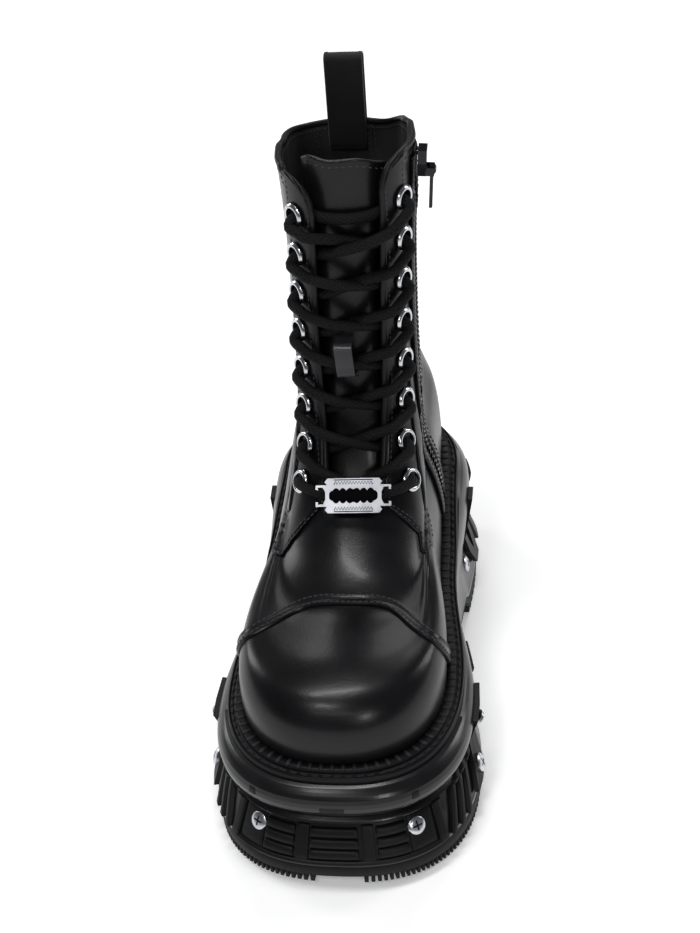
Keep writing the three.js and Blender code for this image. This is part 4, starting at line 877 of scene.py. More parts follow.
class BootFinishes(bpy.types.PropertyGroup):
    """Colours and gloss of the finishes."""

    leather: bpy.props.FloatVectorProperty(
        name="Leather", description="Colour of the leather", default=(0.0045, 0.0045, 0.006), **COLOUR)
    leather_roughness: bpy.props.FloatProperty(
        name="Leather roughness", description="How matt the leather is", default=0.29, min=0, max=1)
    lining: bpy.props.FloatVectorProperty(
        name="Lining", description="Colour of the shaft's lining", default=(0.045, 0.045, 0.048), **COLOUR)
    rubber: bpy.props.FloatVectorProperty(
        name="Rubber", description="Colour of the moulded sole", default=(0.005, 0.005, 0.0065), **COLOUR)
    rubber_roughness: bpy.props.FloatProperty(
        name="Rubber roughness", description="How matt the sole is", default=0.42, min=0, max=1)
    lace: bpy.props.FloatVectorProperty(
        name="Lace", description="Colour of laces and webbing", default=(0.004, 0.004, 0.0045), **COLOUR)
    # Lighter than the black leather: the thread's grey is partly a painted highlight on the stitches.
    thread: bpy.props.FloatVectorProperty(
        name="Thread", description="Colour of the sewing thread", default=(0.035, 0.035, 0.040), **COLOUR)
    steel: bpy.props.FloatVectorProperty(
        name="Steel", description="Colour of eyelets and screws", default=(0.66, 0.67, 0.70), **COLOUR)


# The upper


SIDE_COLUMNS = 168
FRONT_COLUMNS = 26
FOOT_ROWS = 56
SHAFT_ROWS = 74


def foot_level():
    """Level of the front at the foot of the throat."""
    one = np.array([0.0])
    return float(bisect(one + 5, one + 10, lambda m: upper_base(m, 0.0)[..., 2] < THROAT_FOOT + 1)[0])


def throat_turn(level, side):
    """Turn at which a level meets the throat's edge on one side, and the foot's own turn below it."""
    level = np.maximum(np.asarray(level, float), foot_level())
    return bisect(np.zeros(level.shape), np.full(level.shape, 0.2),
                  lambda m: from_throat(upper_base(level, whole_turn(m, side))) < 0)


def corner_height(away, side):
    """Height of the collar's top edge near its front corner, by the distance from the throat's edge."""
    away = np.clip(away, 0, CORNER_REACH)
    t = (-CORNER_START + np.sqrt(CORNER_START**2 + 4 * CORNER_BEND * away)) / (2 * CORNER_BEND)
    return CORNERS[side] + CORNER_RISE * t * (2 - t)


def collar_level(turn_share, side):
    """Top level of a column of the shaft, lower near the throat where the collar's corner is rounded."""
    level = np.full(np.shape(turn_share), float(TOP_LOOP))
    for _ in range(6):
        turn = whole_turn(lerp(throat_turn(level, side), 0.5, turn_share), side)
        p = upper_base(level, turn)
        away = from_throat(p)
        at_corner = (away < CORNER_REACH) & (p[..., 1] < SHAFT_AXIS_Y)
        limit = np.where(at_corner, corner_height(away, side), NO_LIMIT)
        level = np.where(limit == NO_LIMIT, TOP_LOOP, lerp(level, level_at(turn, limit, 8), 0.7))
    return level


def upper_grid():
    """Levels and turns of the whole upper, rows by columns, from the medial throat edge round the heel."""
    foot = foot_level()
    shares = np.linspace(0, 1, SIDE_COLUMNS // 2 + 1)
    low = np.repeat(np.linspace(0, foot, FOOT_ROWS)[:, None], len(shares), 1)
    high = np.linspace(0, 1, SHAFT_ROWS + 1)[1:, None]
    level, turn = {}, {}
    for side in (1, -1):
        level[side] = np.concatenate([low, lerp(foot, collar_level(shares, side)[None], high)])
        turn[side] = whole_turn(lerp(throat_turn(level[side], side), 0.5, shares[None]), side)
    across = np.linspace(0, 1, FRONT_COLUMNS + 1)[None, 1:]
    grids = []
    for sides, whole in ((level, 0), (turn, 1)):
        shaft = np.concatenate([sides[1], sides[-1][:, ::-1][:, 1:]], 1)
        grids.append(np.concatenate([shaft, lerp(shaft[:, -1:], whole + shaft[:, :1], across)], 1))
    return grids


def build_upper():
    """The leather upper with its lining, and the binding round its collar and throat."""
    level, turn = upper_grid()
    points = upper_point(level, turn)
    skirt = points[:1].copy()
    skirt[..., 2] -= WELT_THICKNESS - 0.8
    points = np.concatenate([skirt, points])
    bm = grid_mesh(points)
    first_column = (SIDE_COLUMNS - 0.5) / (points.shape[1] - 1)
    first_row = (FOOT_ROWS - 0.5) / (len(points) - 1)
    uv = bm.loops.layers.uv.active
    throat = [f for f in bm.faces
              if min(l[uv].uv.x for l in f.loops) > first_column
              and min(l[uv].uv.y for l in f.loops) > first_row]
    bmesh.ops.delete(bm, geom=throat, context="FACES")
    bmesh.ops.remove_doubles(bm, verts=bm.verts, dist=1e-6)
    shell = wall(bpy.context.scene.boot_sizes.wall, material_offset=1, use_quality_normals=True)
    finish_piece(bm, "upper_leather", ("leather", "lining"), ["upper"], [shell])
    bm = tube_mesh(even_path(collar_edges(level, turn), 1.6), 1.75, up=(0.0, 0.4, 1.0))
    finish_piece(bm, "collar_binding", ("edge",))


def collar_edges(level, turn):
    """The line up one throat edge, round the collar and down the other, at the middle of the wall."""
    columns = SIDE_COLUMNS + 1
    rows = slice(FOOT_ROWS, None)
    up = upper_point(level[rows, 0], turn[rows, 0], -0.6)
    round_ = upper_point(level[-1, :columns], turn[-1, :columns], -0.9)
    down = upper_point(level[rows, columns - 1], turn[rows, columns - 1], -0.6)[::-1]
    return np.concatenate([up, round_[1:-1], down])


# Quarter flaps


def build_flap(side, name):
    """A quarter flap, thinned at its lower, throat and rear edges."""
    thickness = bpy.context.scene.boot_sizes.overlay / MM
    level, turn = flap_grid(side)
    out = np.full(level.shape, thickness)
    for edge in (np.s_[0], np.s_[:, -1], np.s_[:, 0]):
        out[edge] = thickness - 0.5
    bm = grid_mesh(upper_point(level, turn, out))
    aim_faces(bm, upper_normal(level[75, 15], turn[75, 15]))
    finish_piece(bm, f"quarter_flap_{name}", ("leather",), modifiers=[wall(0.0012)])


def aim_faces(bm, normal):
    """Turns an open sheet's faces to the side that a direction points to."""
    bm.normal_update()
    bm.faces.ensure_lookup_table()
    total = sum((f.normal * f.calc_area() for f in bm.faces), Vector())
    if total.dot(Vector(np.asarray(normal).ravel())) < 0:
        bmesh.ops.reverse_faces(bm, faces=bm.faces)


def flap_edge(side, edge, margin):
    """Points and normals along one edge of a flap, drawn in by a margin."""
    level, turn = flap_grid(side)
    points = upper_point(level, turn, bpy.context.scene.boot_sizes.overlay / MM)
    normals = upper_normal(level, turn)
    if edge == "bottom":
        points, normals = np.swapaxes(points, 0, 1), np.swapaxes(normals, 0, 1)
    elif edge == "rear":
        points, normals = points[:, ::-1], normals[:, ::-1]
    path, faces = [], []
    for line, normal in zip(points, normals):
        run = run_along(line)
        path.append(read_path(margin, run, line))
        faces.append(read_path(margin, run, normal))
    inset = slice(2, -2) if edge == "bottom" else slice(3, -2)
    return np.array(path)[inset], unit(np.array(faces)[inset])


def cap_line(offset=0.0, out=0.0, count=161):
    """Points and normals along the toe seam's arch, from -X to +X, moved rearward and outward."""
    w = np.linspace(-1, 1, 4 * count)
    level = CAP_LEVEL * (1 - np.abs(w) ** CAP_POWER)
    level, turn = resample(np.stack([level, CAP_TURN * w], -1), np.linspace(0, 1, count)).T
    points, normals = upper_point(level, turn), upper_normal(level, turn)
    across = unit(np.cross(normals, unit(np.gradient(points, axis=0))))
    return points + across * offset + normals * out, normals


def build_toe_band():
    """The raised band of the toe seam."""
    profile = ((-3.9, -0.6), (-3.6, 0.7), (-3.0, 1.5), (-1.0, 1.6), (0, 1.25),
               (1.0, 1.6), (3.0, 1.5), (3.6, 0.7), (3.9, -0.6))
    bm = grid_mesh(np.array([cap_line(offset, out)[0] for offset, out in profile]))
    aim_faces(bm, (0, 0, 1))
    finish_piece(bm, "toe_seam", ("leather",), modifiers=[wall(0.0008)])


def build_stitches():
    """The stitch rows of the toe seam and of both flaps."""
    pitch = bpy.context.scene.boot_sizes.stitch / MM
    bm = bmesh.new()
    for offset in (-2.0, 2.0):
        stitch_row(bm, *cap_line(offset, 1.6), pitch, 2.2, 0.9, 0.8)
    for side in (1, -1):
        for edge, margin in (("bottom", 1.8), ("bottom", 4.0), ("rear", 1.8), ("throat", 3.4)):
            stitch_row(bm, *flap_edge(side, edge, margin), pitch, 2.1, 0.8, 0.7, -0.05)
    finish_piece(bm, "upper_stitches", ("thread",))


# Tongue


def build_tongue():
    """The tongue behind the throat, with a stitch row below its top edge."""
    rows, columns = 90, 34
    foot = 6.3
    levels = np.linspace(foot, TOP_LOOP, rows)[:, None]
    across = np.linspace(-1, 1, columns + 1)[None, :]
    reach = TONGUE_TURN * lerp(0.75, 1, ease((levels - foot) / 2))
    sink = lerp(-2.5, TONGUE_SINK, ease((levels - foot - 0.3) / 1.5)) - 0.15
    sink = sink + 0.25 * np.sin(levels * 3.1) * (1 - across**2) * ease((levels - 9) / 2)
    p = upper_point(*np.broadcast_arrays(levels, np.mod(reach * across, 1), sink))
    wave = 0.5 * np.sin(across * 7 + 0.6) - 1.6 * np.abs(across) ** 6 - 0.6
    p[..., 2] += wave * ease((levels - 12) / 2) - TONGUE_SLANT * across * ease((levels - 11) / 3)
    modifiers = [wall(0.0023), ("BEVEL", {"width": 0.0006, "segments": 2, "limit_method": "ANGLE"})]
    finish_piece(grid_mesh(p), "tongue_leather_panel", ("tongue",), ["tongue"], modifiers)
    bm = bmesh.new()
    row = lerp(p[-3], p[-2], 0.2)[2:-2]
    stitch_row(bm, row, np.tile([[0, -1.0, 0.1]], (len(row), 1)), 3.0, 2.0, 0.7, 0.6)
    finish_piece(bm, "tongue_stitches", ("thread",))


# Lacing


def eyelet_height(row):
    """Height of the middle of a row of eyelets, counted from the top."""
    return lerp(EYELET_TOP, EYELET_FOOT, EYELET_SHARES[row])


def eyelet_place(row, side):
    """Sideways distance from the throat's middle and height of an eyelet."""
    spread = EYELET_OUT + EYELET_FOOT_SPREAD * float(ease(row - 6))
    return spread, eyelet_height(row) + side * EYELET_SLANT * float(ease(1 - row / 7))


def build_eyelets():
    """Sixteen turned metal rings, each with its barrel through the leather."""
    sizes = bpy.context.scene.boot_sizes
    hole, rim = sizes.eyelet_hole / 2 / MM, sizes.eyelet / 2 / MM
    profile = [(hole, -3.4), (hole, 1.2), (hole + 0.35, 1.95), (hole + 1.0, 2.2), (hole + 1.7, 2.0),
               (rim - 0.25, 1.35), (rim, 0.95), (rim - 0.2, 0.8), (hole + 0.9, 0.8), (hole + 0.9, -3.4)]
    for name, side in (("medial", 1), ("lateral", -1)):
        for row in range(len(EYELET_SHARES)):
            spread, z = eyelet_place(row, side)
            level, turn = locate_front(throat_centre(z) + side * spread, z)
            bm = bmesh.new()
            verts = [bm.verts.new((r * MM, 0, h * MM)) for r, h in profile]
            edges = [bm.edges.new((a, b)) for a, b in zip(verts, verts[1:] + verts[:1])]
            bmesh.ops.spin(bm, geom=verts + edges, cent=(0, 0, 0), axis=(0, 0, 1), angle=2 * math.pi,
                           steps=36, use_merge=True, use_duplicate=False)
            bmesh.ops.remove_doubles(bm, verts=bm.verts, dist=1e-6)
            bmesh.ops.recalc_face_normals(bm, faces=bm.faces)
            bm.transform(frame_at(upper_point(level, turn, 1.3), upper_normal(level, turn), (1, 0, 0)))
            label = f"{name}_{row + 1}"
            finish_piece(bm, f"eyelet_ring_{label}", ("steel",), [f"eyelet_{label}"])


def strand_points(row, side, over):
    """Middle line of one lace strand, from inside its own eyelet to inside the next one of the other side."""
    spread, z = eyelet_place(row, side)
    low_spread, low = eyelet_place(row + 1, -side)
    stations = (
        (spread, z, -5.2), (spread, z - 0.3, -1.5), (spread, z - 1.4, 2.4), (spread - 0.3, z - 4.6, 5.3),
        (spread - 4.5, lerp(z, low, 0.36), 5.6), (THROAT_HALF, lerp(z, low, 0.47), 4.8),
        (9, lerp(z, low, 0.60), 1.2 + 2.2 * over), (1.0, lerp(z, low, 0.72), -1.6 + 2.6 * over),
        (-8, lerp(z, low, 0.85), -3.0 + 0.8 * over), (-14.5, lerp(z, low, 0.95), -4.4), (-20, low, -5.6),
        (-low_spread, low, -5.4),
    )
    x, height, out = np.array(stations).T
    return front_point(throat_centre(z) + side * x, height, out)


def build_laces():
    """Seven crossings of two strands each, and the straight runs at the foot and the top."""
    radius = bpy.context.scene.boot_sizes.lace / 2 / MM
    for row in range(len(EYELET_SHARES) - 1):
        parts = []
        for side in (1, -1):
            over = side if row == 0 else -side
            path = smooth_path(strand_points(row, side, over), LACE_STEP)
            parts.append(tube_mesh(path, radius, sides=12, up=(0, -0.7, 0.7)))
        finish_piece(joined(parts), f"lace_run_{row + 1}", ("lace",), [f"lace_cross_{row + 1}"])
    spread, _ = eyelet_place(len(EYELET_SHARES) - 1, 1)
    foot_run = [(-spread, -4.5), (-spread, 0.5), (-spread + 1.5, 4.6), (-spread + 7, 5.6), (-10, 5.2),
                (0, 5.2), (10, 5.2), (spread - 7, 5.6), (spread - 1.5, 4.6), (spread, 0.5), (spread, -4.5)]
    top_run = [(-20, -5.6), (-12, -5.2), (0, -4.6), (12, -5.2), (20, -5.6)]
    for name, z, run in (("bottom", EYELET_FOOT, foot_run), ("top", EYELET_TOP - 3.5, top_run)):
        x, out = np.array(run).T
        bm = tube_mesh(smooth_path(front_point(throat_centre(z) + x, z, out), LACE_STEP), radius, sides=12)
        finish_piece(bm, f"lace_run_{name}", ("lace",), [f"lace_bar_{name}"])


def build_keeper():
    """The leather keeper on the tongue, grey for a painted sheen, with a bar of stitches at its foot."""
    middle = lerp(eyelet_height(4), eyelet_height(3), 0.4) + 1.6
    centre = throat_centre(middle) - 2.2
    low = TONGUE_SINK + 0.7
    stations = [(-13.5, low), (-11, low), (-9.4, low + 1), (-8, 5.0), (-6, 6.0), (0, 6.5), (6, 6.0), (8, 5.0),
                (9.4, low + 1), (11, low), (13.5, low)]
    path = [front_point(centre - along * 0.06, middle + along, out) for along, out in stations]
    path = smooth_path(path, 0.9)
    tangent = unit(np.gradient(path, axis=0))
    across = unit(np.cross(tangent, np.array([0, -1.0, 0.2])))
    rise = np.cross(across, tangent)
    section = ((-4.5, 0.0), (-4.2, 0.32), (-2, 0.36), (0, 0.32), (2, 0.36), (4.2, 0.32), (4.5, 0.0))
    bm = grid_mesh(np.array([path + across * w + rise * lift for w, lift in section]))
    aim_faces(bm, (0, -1, 0.2))
    finish_piece(bm, "keeper_strap", ("satin",), ["lace_keeper"], [wall(0.0013)])
    bm = bmesh.new()
    for drop in (10.8, 12.4):
        line = front_point(np.linspace(-4.5, 4.5, 9) + centre, middle - drop, low + 1.0)
        stitch_row(bm, line, np.tile([[0.0, -0.8, 0.5]], (9, 1)), 1.5, 1.3, 0.8, 0.7)
    finish_piece(bm, "keeper_stitches", ("thread",))


def build_charm_marks():
    """The charm's engraved zigzags and the toothed edge round its slot, drawn as near-black lines and a
    near-black sheet on its face: painted shade of the grooves and the slot.
    """
    centre = node_centre("charm")
    normal = upper_normal(*locate_front(np.array([throat_centre(EYELET_FOOT)]), np.array([EYELET_FOOT])))[0]
    right = unit(np.cross(normal, (0, 0, 1.0)))
    right = right if right[0] > 0 else -right
    rise = np.cross(normal, right)
    rise = rise if rise[2] > 0 else -rise
    lines = []
    u = np.linspace(-9.5, 9.5, 27)
    zigzag = np.where(np.arange(27) % 2, 0.75, -0.75)
    for v in (6.4 + zigzag, -6.4 + zigzag, np.full(27, 7.9), np.full(27, -7.9)):
        path = centre + u[:, None] * right + v[:, None] * rise + normal * 0.66
        lines.append(tube_mesh(path, 0.24, sides=6, up=tuple(normal)))
    finish_piece(joined(lines), "charm_engraving", ("engraving",))
    across = np.linspace(-1, 1, 97)
    scallop = 1.5 * np.abs(np.sin(across * 3.5 * math.pi)) ** 0.7
    half = np.clip(2.3 + scallop - 2.6 * np.clip(np.abs(across) - 0.86, 0, 1) / 0.14, 0.5, None)
    up = np.linspace(-1, 1, 5)[:, None, None] * half[None, :, None] * rise
    bm = grid_mesh(centre + across[None, :, None] * 12.0 * right + up + normal * 0.72)
    aim_faces(bm, normal)
    finish_piece(bm, "charm_slot_edge", ("engraving",), modifiers=[wall(0.0003)])


def build_pull_loop():
    """The webbing loop sewn inside and outside the back of the collar."""
    low, high = (np.array(corner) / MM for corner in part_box("pull_loop"))
    near, far = low[1] + 0.8, high[1] - 0.8
    top, foot = high[2] - 0.8, low[2] + 0.3
    middle, half = (near + far) / 2, (far - near) / 2
    arc = [(middle - half * math.cos(t), top - half * 0.75 + half * 0.75 * math.sin(t))
           for t in np.linspace(0, math.pi, 13)]
    legs = np.linspace(foot, top - half, 16)
    path = np.array([(near, z) for z in legs] + arc + [(far, z) for z in legs[::-1]])
    tangent = unit(np.gradient(path, axis=0))
    out = np.stack([-tangent[:, 1], tangent[:, 0]], -1)
    section = [(low[0] + 0.1, 0.0), (low[0] + 0.5, 0.7), (low[0] + 2, 0.8), (low[0] + 2.4, 0.55),
               ((low[0] + high[0]) / 2, 0.6), (high[0] - 2.4, 0.55), (high[0] - 2, 0.8), (high[0] - 0.5, 0.7),
               (high[0] - 0.1, 0.0)]
    rows = [np.concatenate([np.full((len(path), 1), x), path + out * lift], 1) for x, lift in section]
    bm = grid_mesh(np.array(rows))
    bm.normal_update()
    front = min(bm.faces, key=lambda f: f.calc_center_median().y)
    if front.normal.y > 0:
        bmesh.ops.reverse_faces(bm, faces=bm.faces)
    finish_piece(bm, "webbing_loop", ("webbing",), ["pull_loop"], [wall(0.0014)])


def zip_line(z):
    """Place of the zip's middle along the boot at a height."""
    return lerp(ZIP_FOOT_Y, ZIP_TOP_Y, (z - ZIP_FOOT) / (ZIP_TOP - ZIP_FOOT))


def zip_sheet(section, z):
    """A sheet up the zip. Its section gives distances from the zip's line and heights off the leather."""
    rows = [upper_point(*locate_side(zip_line(z) + away, z), out) for away, out in section]
    bm = grid_mesh(np.array(rows))
    aim_faces(bm, (1, 0, 0))
    return bm


def build_zip():
    """Tapes, facings and two rows of teeth up the medial side."""
    tape = zip_sheet(((-5.2, 0.1), (-4.9, 0.9), (-2.0, 1.1), (2.0, 1.1), (4.9, 0.9), (5.2, 0.1)),
                     np.linspace(ZIP_FOOT, ZIP_TOP, 101))
    finish_piece(tape, "zip_tape", ("webbing",), ["zip_chain"], [wall(0.0006)])
    box = bmesh.new()
    bmesh.ops.create_cube(box, size=1)
    z = np.arange(ZIP_FOOT + 2, ZIP_TOP - 2, TOOTH_PITCH)
    level, turn = locate_side(zip_line(z) + np.where(np.arange(len(z)) % 2, 0.9, -0.9), z)
    spots = [(p, n, (0, 1.0, 0)) for p, n in zip(upper_point(level, turn, 1.6), upper_normal(level, turn))]
    teeth = bmesh.new()
    scatter(teeth, box, spots, (2.3, 1.0, 1.3))
    finish_piece(teeth, "zip_teeth", ("black_metal",))
    parts, threads = [], bmesh.new()
    z = np.linspace(ZIP_FOOT + 1, ZIP_TOP - 3, 101)
    section = ((4.0, 0.2), (4.0, 1.7), (4.5, 2.1), (9.0, 2.0), (9.6, 1.6), (9.8, 0.1))
    for side in (-1, 1):
        parts.append(zip_sheet([(side * away, out) for away, out in section], z))
        for away in (5.2, 8.4):
            level, turn = locate_side(zip_line(z) + side * away, z)
            stitch_row(threads, upper_point(level, turn, 2.05), upper_normal(level, turn), 2.8, 2.1, 0.7, 0.6)
    finish_piece(joined(parts), "zip_facings", ("leather",), modifiers=[wall(0.0007)])
    finish_piece(threads, "zip_stitches", ("thread",))


def build_lining_seams():
    """Seams down the inside of the shaft's back, and stitches round the collar inside and out."""
    parts, threads = [], bmesh.new()
    levels = np.linspace(10.5, 13.85, 40)
    for turn in (0.452, 0.5, 0.548):
        parts.append(tube_mesh(upper_point(levels, np.full(40, turn), -2.4), 0.55, sides=6, up=(0, 1, 0)))
        for away in (-0.006, 0.006):
            turns = np.full(40, turn + away)
            inside, normals = upper_point(levels, turns, -2.3), -upper_normal(levels, turns)
            stitch_row(threads, inside, normals, 2.8, 2.0, 0.7, 0.6)
    finish_piece(joined(parts), "lining_seams", ("lining",))
    level, turn = (grid[-1, :SIDE_COLUMNS + 1] for grid in upper_grid())
    level = level - 0.19
    for out, facing in ((0.05, 1), (-2.35, -1)):
        normals = facing * upper_normal(level, turn)
        stitch_row(threads, upper_point(level, turn, out), normals, 2.8, 2.1, 0.75, 0.6)
    finish_piece(threads, "collar_stitches", ("thread",))


# Sole


RING_COLUMNS = 360
TEETH = 190
WELT_STITCH = 5.2
RIB = 0.078
RIB_FEET = (0.115, 0.225, 0.335)
BLOCK_TURNS = ((0.21, 0.235), (0.355, 0.385), (0.40, 0.43), (0.445, 0.475))

# Blocks that stand on both sides: turns, height shares, height in mm, columns, rows, bevel and lean
RELIEF_PAIRS = (
    *((0.0285, 0.0575, low, low + RIB, 1.9, 8, 2, 0.7) for low in RIB_FEET),
    (0.0165, 0.0265, 0.085, 0.435, 1.2, 4),
    (0.0595, 0.088, 0.09, 0.44, 0.7),
    (0.0895, 0.1005, 0.05, 0.50, 1.6, 3),
    (0.064, 0.072, 0.80, 0.88, 0.35, 3, 2, 0.3),
    *((start, start + 0.007, 0.06, 0.60, 2.4, 2, 10, 0.5, 0.022) for start in (0.104, 0.118, 0.132)),
    *((start, end, 0.05, 0.44, 2.2, 6, 6, 0.8) for start, end in BLOCK_TURNS),
    *((start + 0.003, end - 0.003, 0.56, 0.80, 1.6, 6, 6, 0.8) for start, end in BLOCK_TURNS),
)


def build_platform():
    """The platform's moulded side, closed above under the welt and below over the outsole."""
    t = np.linspace(0, 1, RING_COLUMNS + 1)[None, :]
    rises = np.unique(np.concatenate([np.linspace(0, 1, 70), SIDE_RISE]))[:, None]
    points = platform_point(*np.broadcast_arrays(t, rises))
    below = points[0] * (0.6, 1, 1) + (0, 0, 0.4)
    above = points[-1] * (0.6, 0.9, 1) + (0, 0, 0.2)
    bm = grid_mesh(np.concatenate([[below], points, [above]]))
    bmesh.ops.remove_doubles(bm, verts=bm.verts, dist=1e-5)
    bmesh.ops.holes_fill(bm, edges=[e for e in bm.edges if e.is_boundary], sides=0)
    finish_piece(bm, "platform_body", ("bumper",), ["platform"])


def build_welt():
    """The two-tier welt, the beads of its lower tier and the thick threads of its upper one."""
    t = np.linspace(0, 1, RING_COLUMNS + 1)
    foot = upper_base(np.zeros(t.shape), t)[..., :2]
    outer = outline_point(WELT, WELT_HALF, t)

    def line(inward, height):
        """Points a share of the way from the welt's rim to the upper, at a height over the seat line."""
        p = lerp(outer, foot, inward)
        return raised(p, seat_height(p[:, 1]) + height)

    section = ((0.35, -WELT_THICKNESS - 0.2), (0.02, -WELT_THICKNESS), (-0.02, -WELT_THICKNESS + 0.8),
               (0.0, -1.9), (0.03, -1.3), (0.08, -1.0), (0.13, -1.3), (0.17, -1.6), (0.40, -1.5),
               (0.44, -1.2), (0.46, 0.6), (0.5, 1.2), (0.56, 1.45), (0.9, 1.3), (1.0, 1.1), (1.04, -2.0),
               (0.35, -WELT_THICKNESS - 0.2))
    bm = grid_mesh(np.array([line(*place) for place in section]))
    bmesh.ops.remove_doubles(bm, verts=bm.verts, dist=1e-5)
    bmesh.ops.recalc_face_normals(bm, faces=bm.faces)
    finish_piece(bm, "welt_strip", ("rubber",), ["welt"])
    bm = bmesh.new()
    stitch_row(bm, line(0.27, -1.25), np.tile([[0.0, 0, 1]], (len(t), 1)), WELT_STITCH, 4.3, 1.5, 1.1)
    path = even_path(line(0.70, 1.35), WELT_STITCH)
    size = Matrix.Diagonal((2.7 * MM, 1.1 * MM, 0.8 * MM, 1))
    for a, along in zip(path, unit(np.diff(path, axis=0))):
        place = frame_at(a, (0, 0, 1), (along[1], -along[0], 0.0))
        bmesh.ops.create_uvsphere(bm, u_segments=8, v_segments=5, radius=1, matrix=place @ size)
    finish_piece(bm, "welt_stitches", ("welt_thread",))


def tread_slab():
    """The slab above the lugs, drawn in at its top edge."""
    rows = []
    for rise, inset in ((0.36, 24), (0.36, 0.9), (0.38, 0.3), (0.42, 0.0), (0.72, 0.0), (0.86, 0.3),
                        (0.95, 0.8), (1.0, 1.6), (1.0, 24)):
        p = outline_point(TREAD, SOLE_HALF, np.linspace(0, 1, 481), -inset)
        rows.append(raised(p, lerp(floor_height(p[:, 1]), joint_height(p[:, 1]), rise)))
    slab = grid_mesh(np.array(rows))
    bmesh.ops.remove_doubles(slab, verts=slab.verts, dist=1e-5)
    bmesh.ops.holes_fill(slab, edges=[e for e in slab.edges if e.is_boundary], sides=0)
    bmesh.ops.recalc_face_normals(slab, faces=slab.faces)
    return slab


def tread_lug(front, back, low, high, side):
    """One lug under the slab: a slanted block between two shares of a bar's depth."""
    ring = outline_point(TREAD, SOLE_HALF, np.linspace(0, 0.5, 241))

    def place(u, v, out):
        y = lerp(front, back, lerp(low, high, v))
        x = lerp(4.6, np.interp(np.clip(y - 8, -147, 147), ring[:, 1], ring[:, 0]) - 6.0, u)
        y = np.clip(y - x * 0.30 + 6, -146 + x * 0.25, 146 - x * 0.25)
        return raised(np.stack([side * x, y], -1), floor_height(y) + out)
    return block_mesh(place, 8, 1, 0.05, 6.0, 0.4, 1)


def edge_tooth(start):
    """One tooth of the tread's edge, from a turn on."""
    def place(u, v, out):
        p = outline_point(TREAD, SOLE_HALF, start + u * 0.6 / TEETH, out)
        return raised(p, lerp(floor_height(p[:, 1]) + 0.02, joint_height(p[:, 1]), v * 0.38))
    return block_mesh(place, 1, 1, -8.0, -0.1, 0.3, 1)


def build_outsole():
    """The slab with its lugs, and the teeth round its edge, left out at the toe's notch and over the arch."""
    bars = [(-149, -129), *[(y + 3, y + 20) for y in (-127, -104, -81, -58, -35)], (-9, 3), (55, 72),
            *[(y + 3, y + 20) for y in (75, 98)], (124, 148)]
    lugs = [tread_lug(*bar, *part, side) for bar in bars for side in (1, -1)
            for part in ((0.0, 0.28), (0.36, 0.64), (0.72, 1.0))]
    finish_piece(joined([tread_slab(), *lugs]), "outsole_tread", ("tread",), ["outsole"])
    starts = np.arange(TEETH) / TEETH
    along = outline_point(TREAD, SOLE_HALF, starts)[:, 1]
    teeth = [edge_tooth(start) for start, y in zip(starts, along)
             if abs((start + 0.5) % 1 - 0.5) >= 0.012 and not 14 < y < 44]
    finish_piece(joined(teeth), "outsole_teeth", ("tread",))


def pad(start, end, low, high, out, columns=6, rows=6, bevel=0.5, lean=0.0):
    """A raised block on the platform's side between two turns and two height shares."""
    def place(u, v, depth):
        return platform_point(lerp(start, end, u) + lean * v, lerp(low, high, v), depth)
    return block_mesh(place, columns, rows, -2.0, out, bevel)


def pad_pair(start, end, low, high, out, columns=6, rows=6, bevel=0.5, lean=0.0):
    """A block on the medial side and its mirror on the lateral side."""
    shape = (low, high, out, columns, rows, bevel)
    return pad(start, end, *shape, lean), pad(1 - end, 1 - start, *shape, -lean)


def build_sole_relief():
    """Ribs, posts, fins and blocks on the platform's side."""
    parts = [pad(-0.0155, 0.0135, low, low + RIB, 1.9, 8, 2, 0.7) for low in RIB_FEET]
    parts.append(pad(-0.1, 0.1, 0.045, 0.085, 1.5, 40, 2, 0.6))
    parts.append(pad(-0.006, 0.006, 0.73, 0.81, 0.35, 3, 2, 0.3))
    for pair in RELIEF_PAIRS:
        parts.extend(pad_pair(*pair))
    finish_piece(joined(parts), "sole_relief", ("rubber",))


# Turn and height share of the medial screws on the platform's side
SCREW_PLACES = {
    "front": (0.069, 0.3), "side_upper": (0.183, 0.66), "side_lower": (0.172, 0.21), "heel": (0.3165, 0.25),
}


def screw_mesh(radius=4.7, cross=1.15):
    """A domed head with a sunk cross, facing +Z."""
    bm = bmesh.new()
    bmesh.ops.create_grid(bm, x_segments=22, y_segments=22, size=1)
    arms = []
    for face in bm.faces:
        x, y, _ = face.calc_center_median()
        if min(abs(x), abs(y)) < 0.13 and max(abs(x), abs(y)) < 0.56:
            arms.append(face)
    sunk = bmesh.ops.extrude_face_region(bm, geom=arms)
    low = {v for v in sunk["geom"] if isinstance(v, bmesh.types.BMVert)}
    bmesh.ops.delete(bm, geom=[f for f in arms if f.is_valid], context="FACES")
    for v in bm.verts:
        x, y = v.co.x, v.co.y
        v.co = Vector((x * math.sqrt(1 - y * y / 2), y * math.sqrt(1 - x * x / 2), 0)) * radius
        v.co.z = 1.5 - 1.0 * (v.co.xy.length / radius) ** 4 - (cross if v in low else 0)
    rim = bmesh.ops.extrude_edge_only(bm, edges=[e for e in bm.edges if e.is_boundary])
    for v in rim["geom"]:
        if isinstance(v, bmesh.types.BMVert):
            v.co.z = -1.0
    bmesh.ops.holes_fill(bm, edges=[e for e in bm.edges if e.is_boundary], sides=0)
    bmesh.ops.recalc_face_normals(bm, faces=bm.faces)
    bm.transform(Matrix.Scale(MM, 4))
    return bm


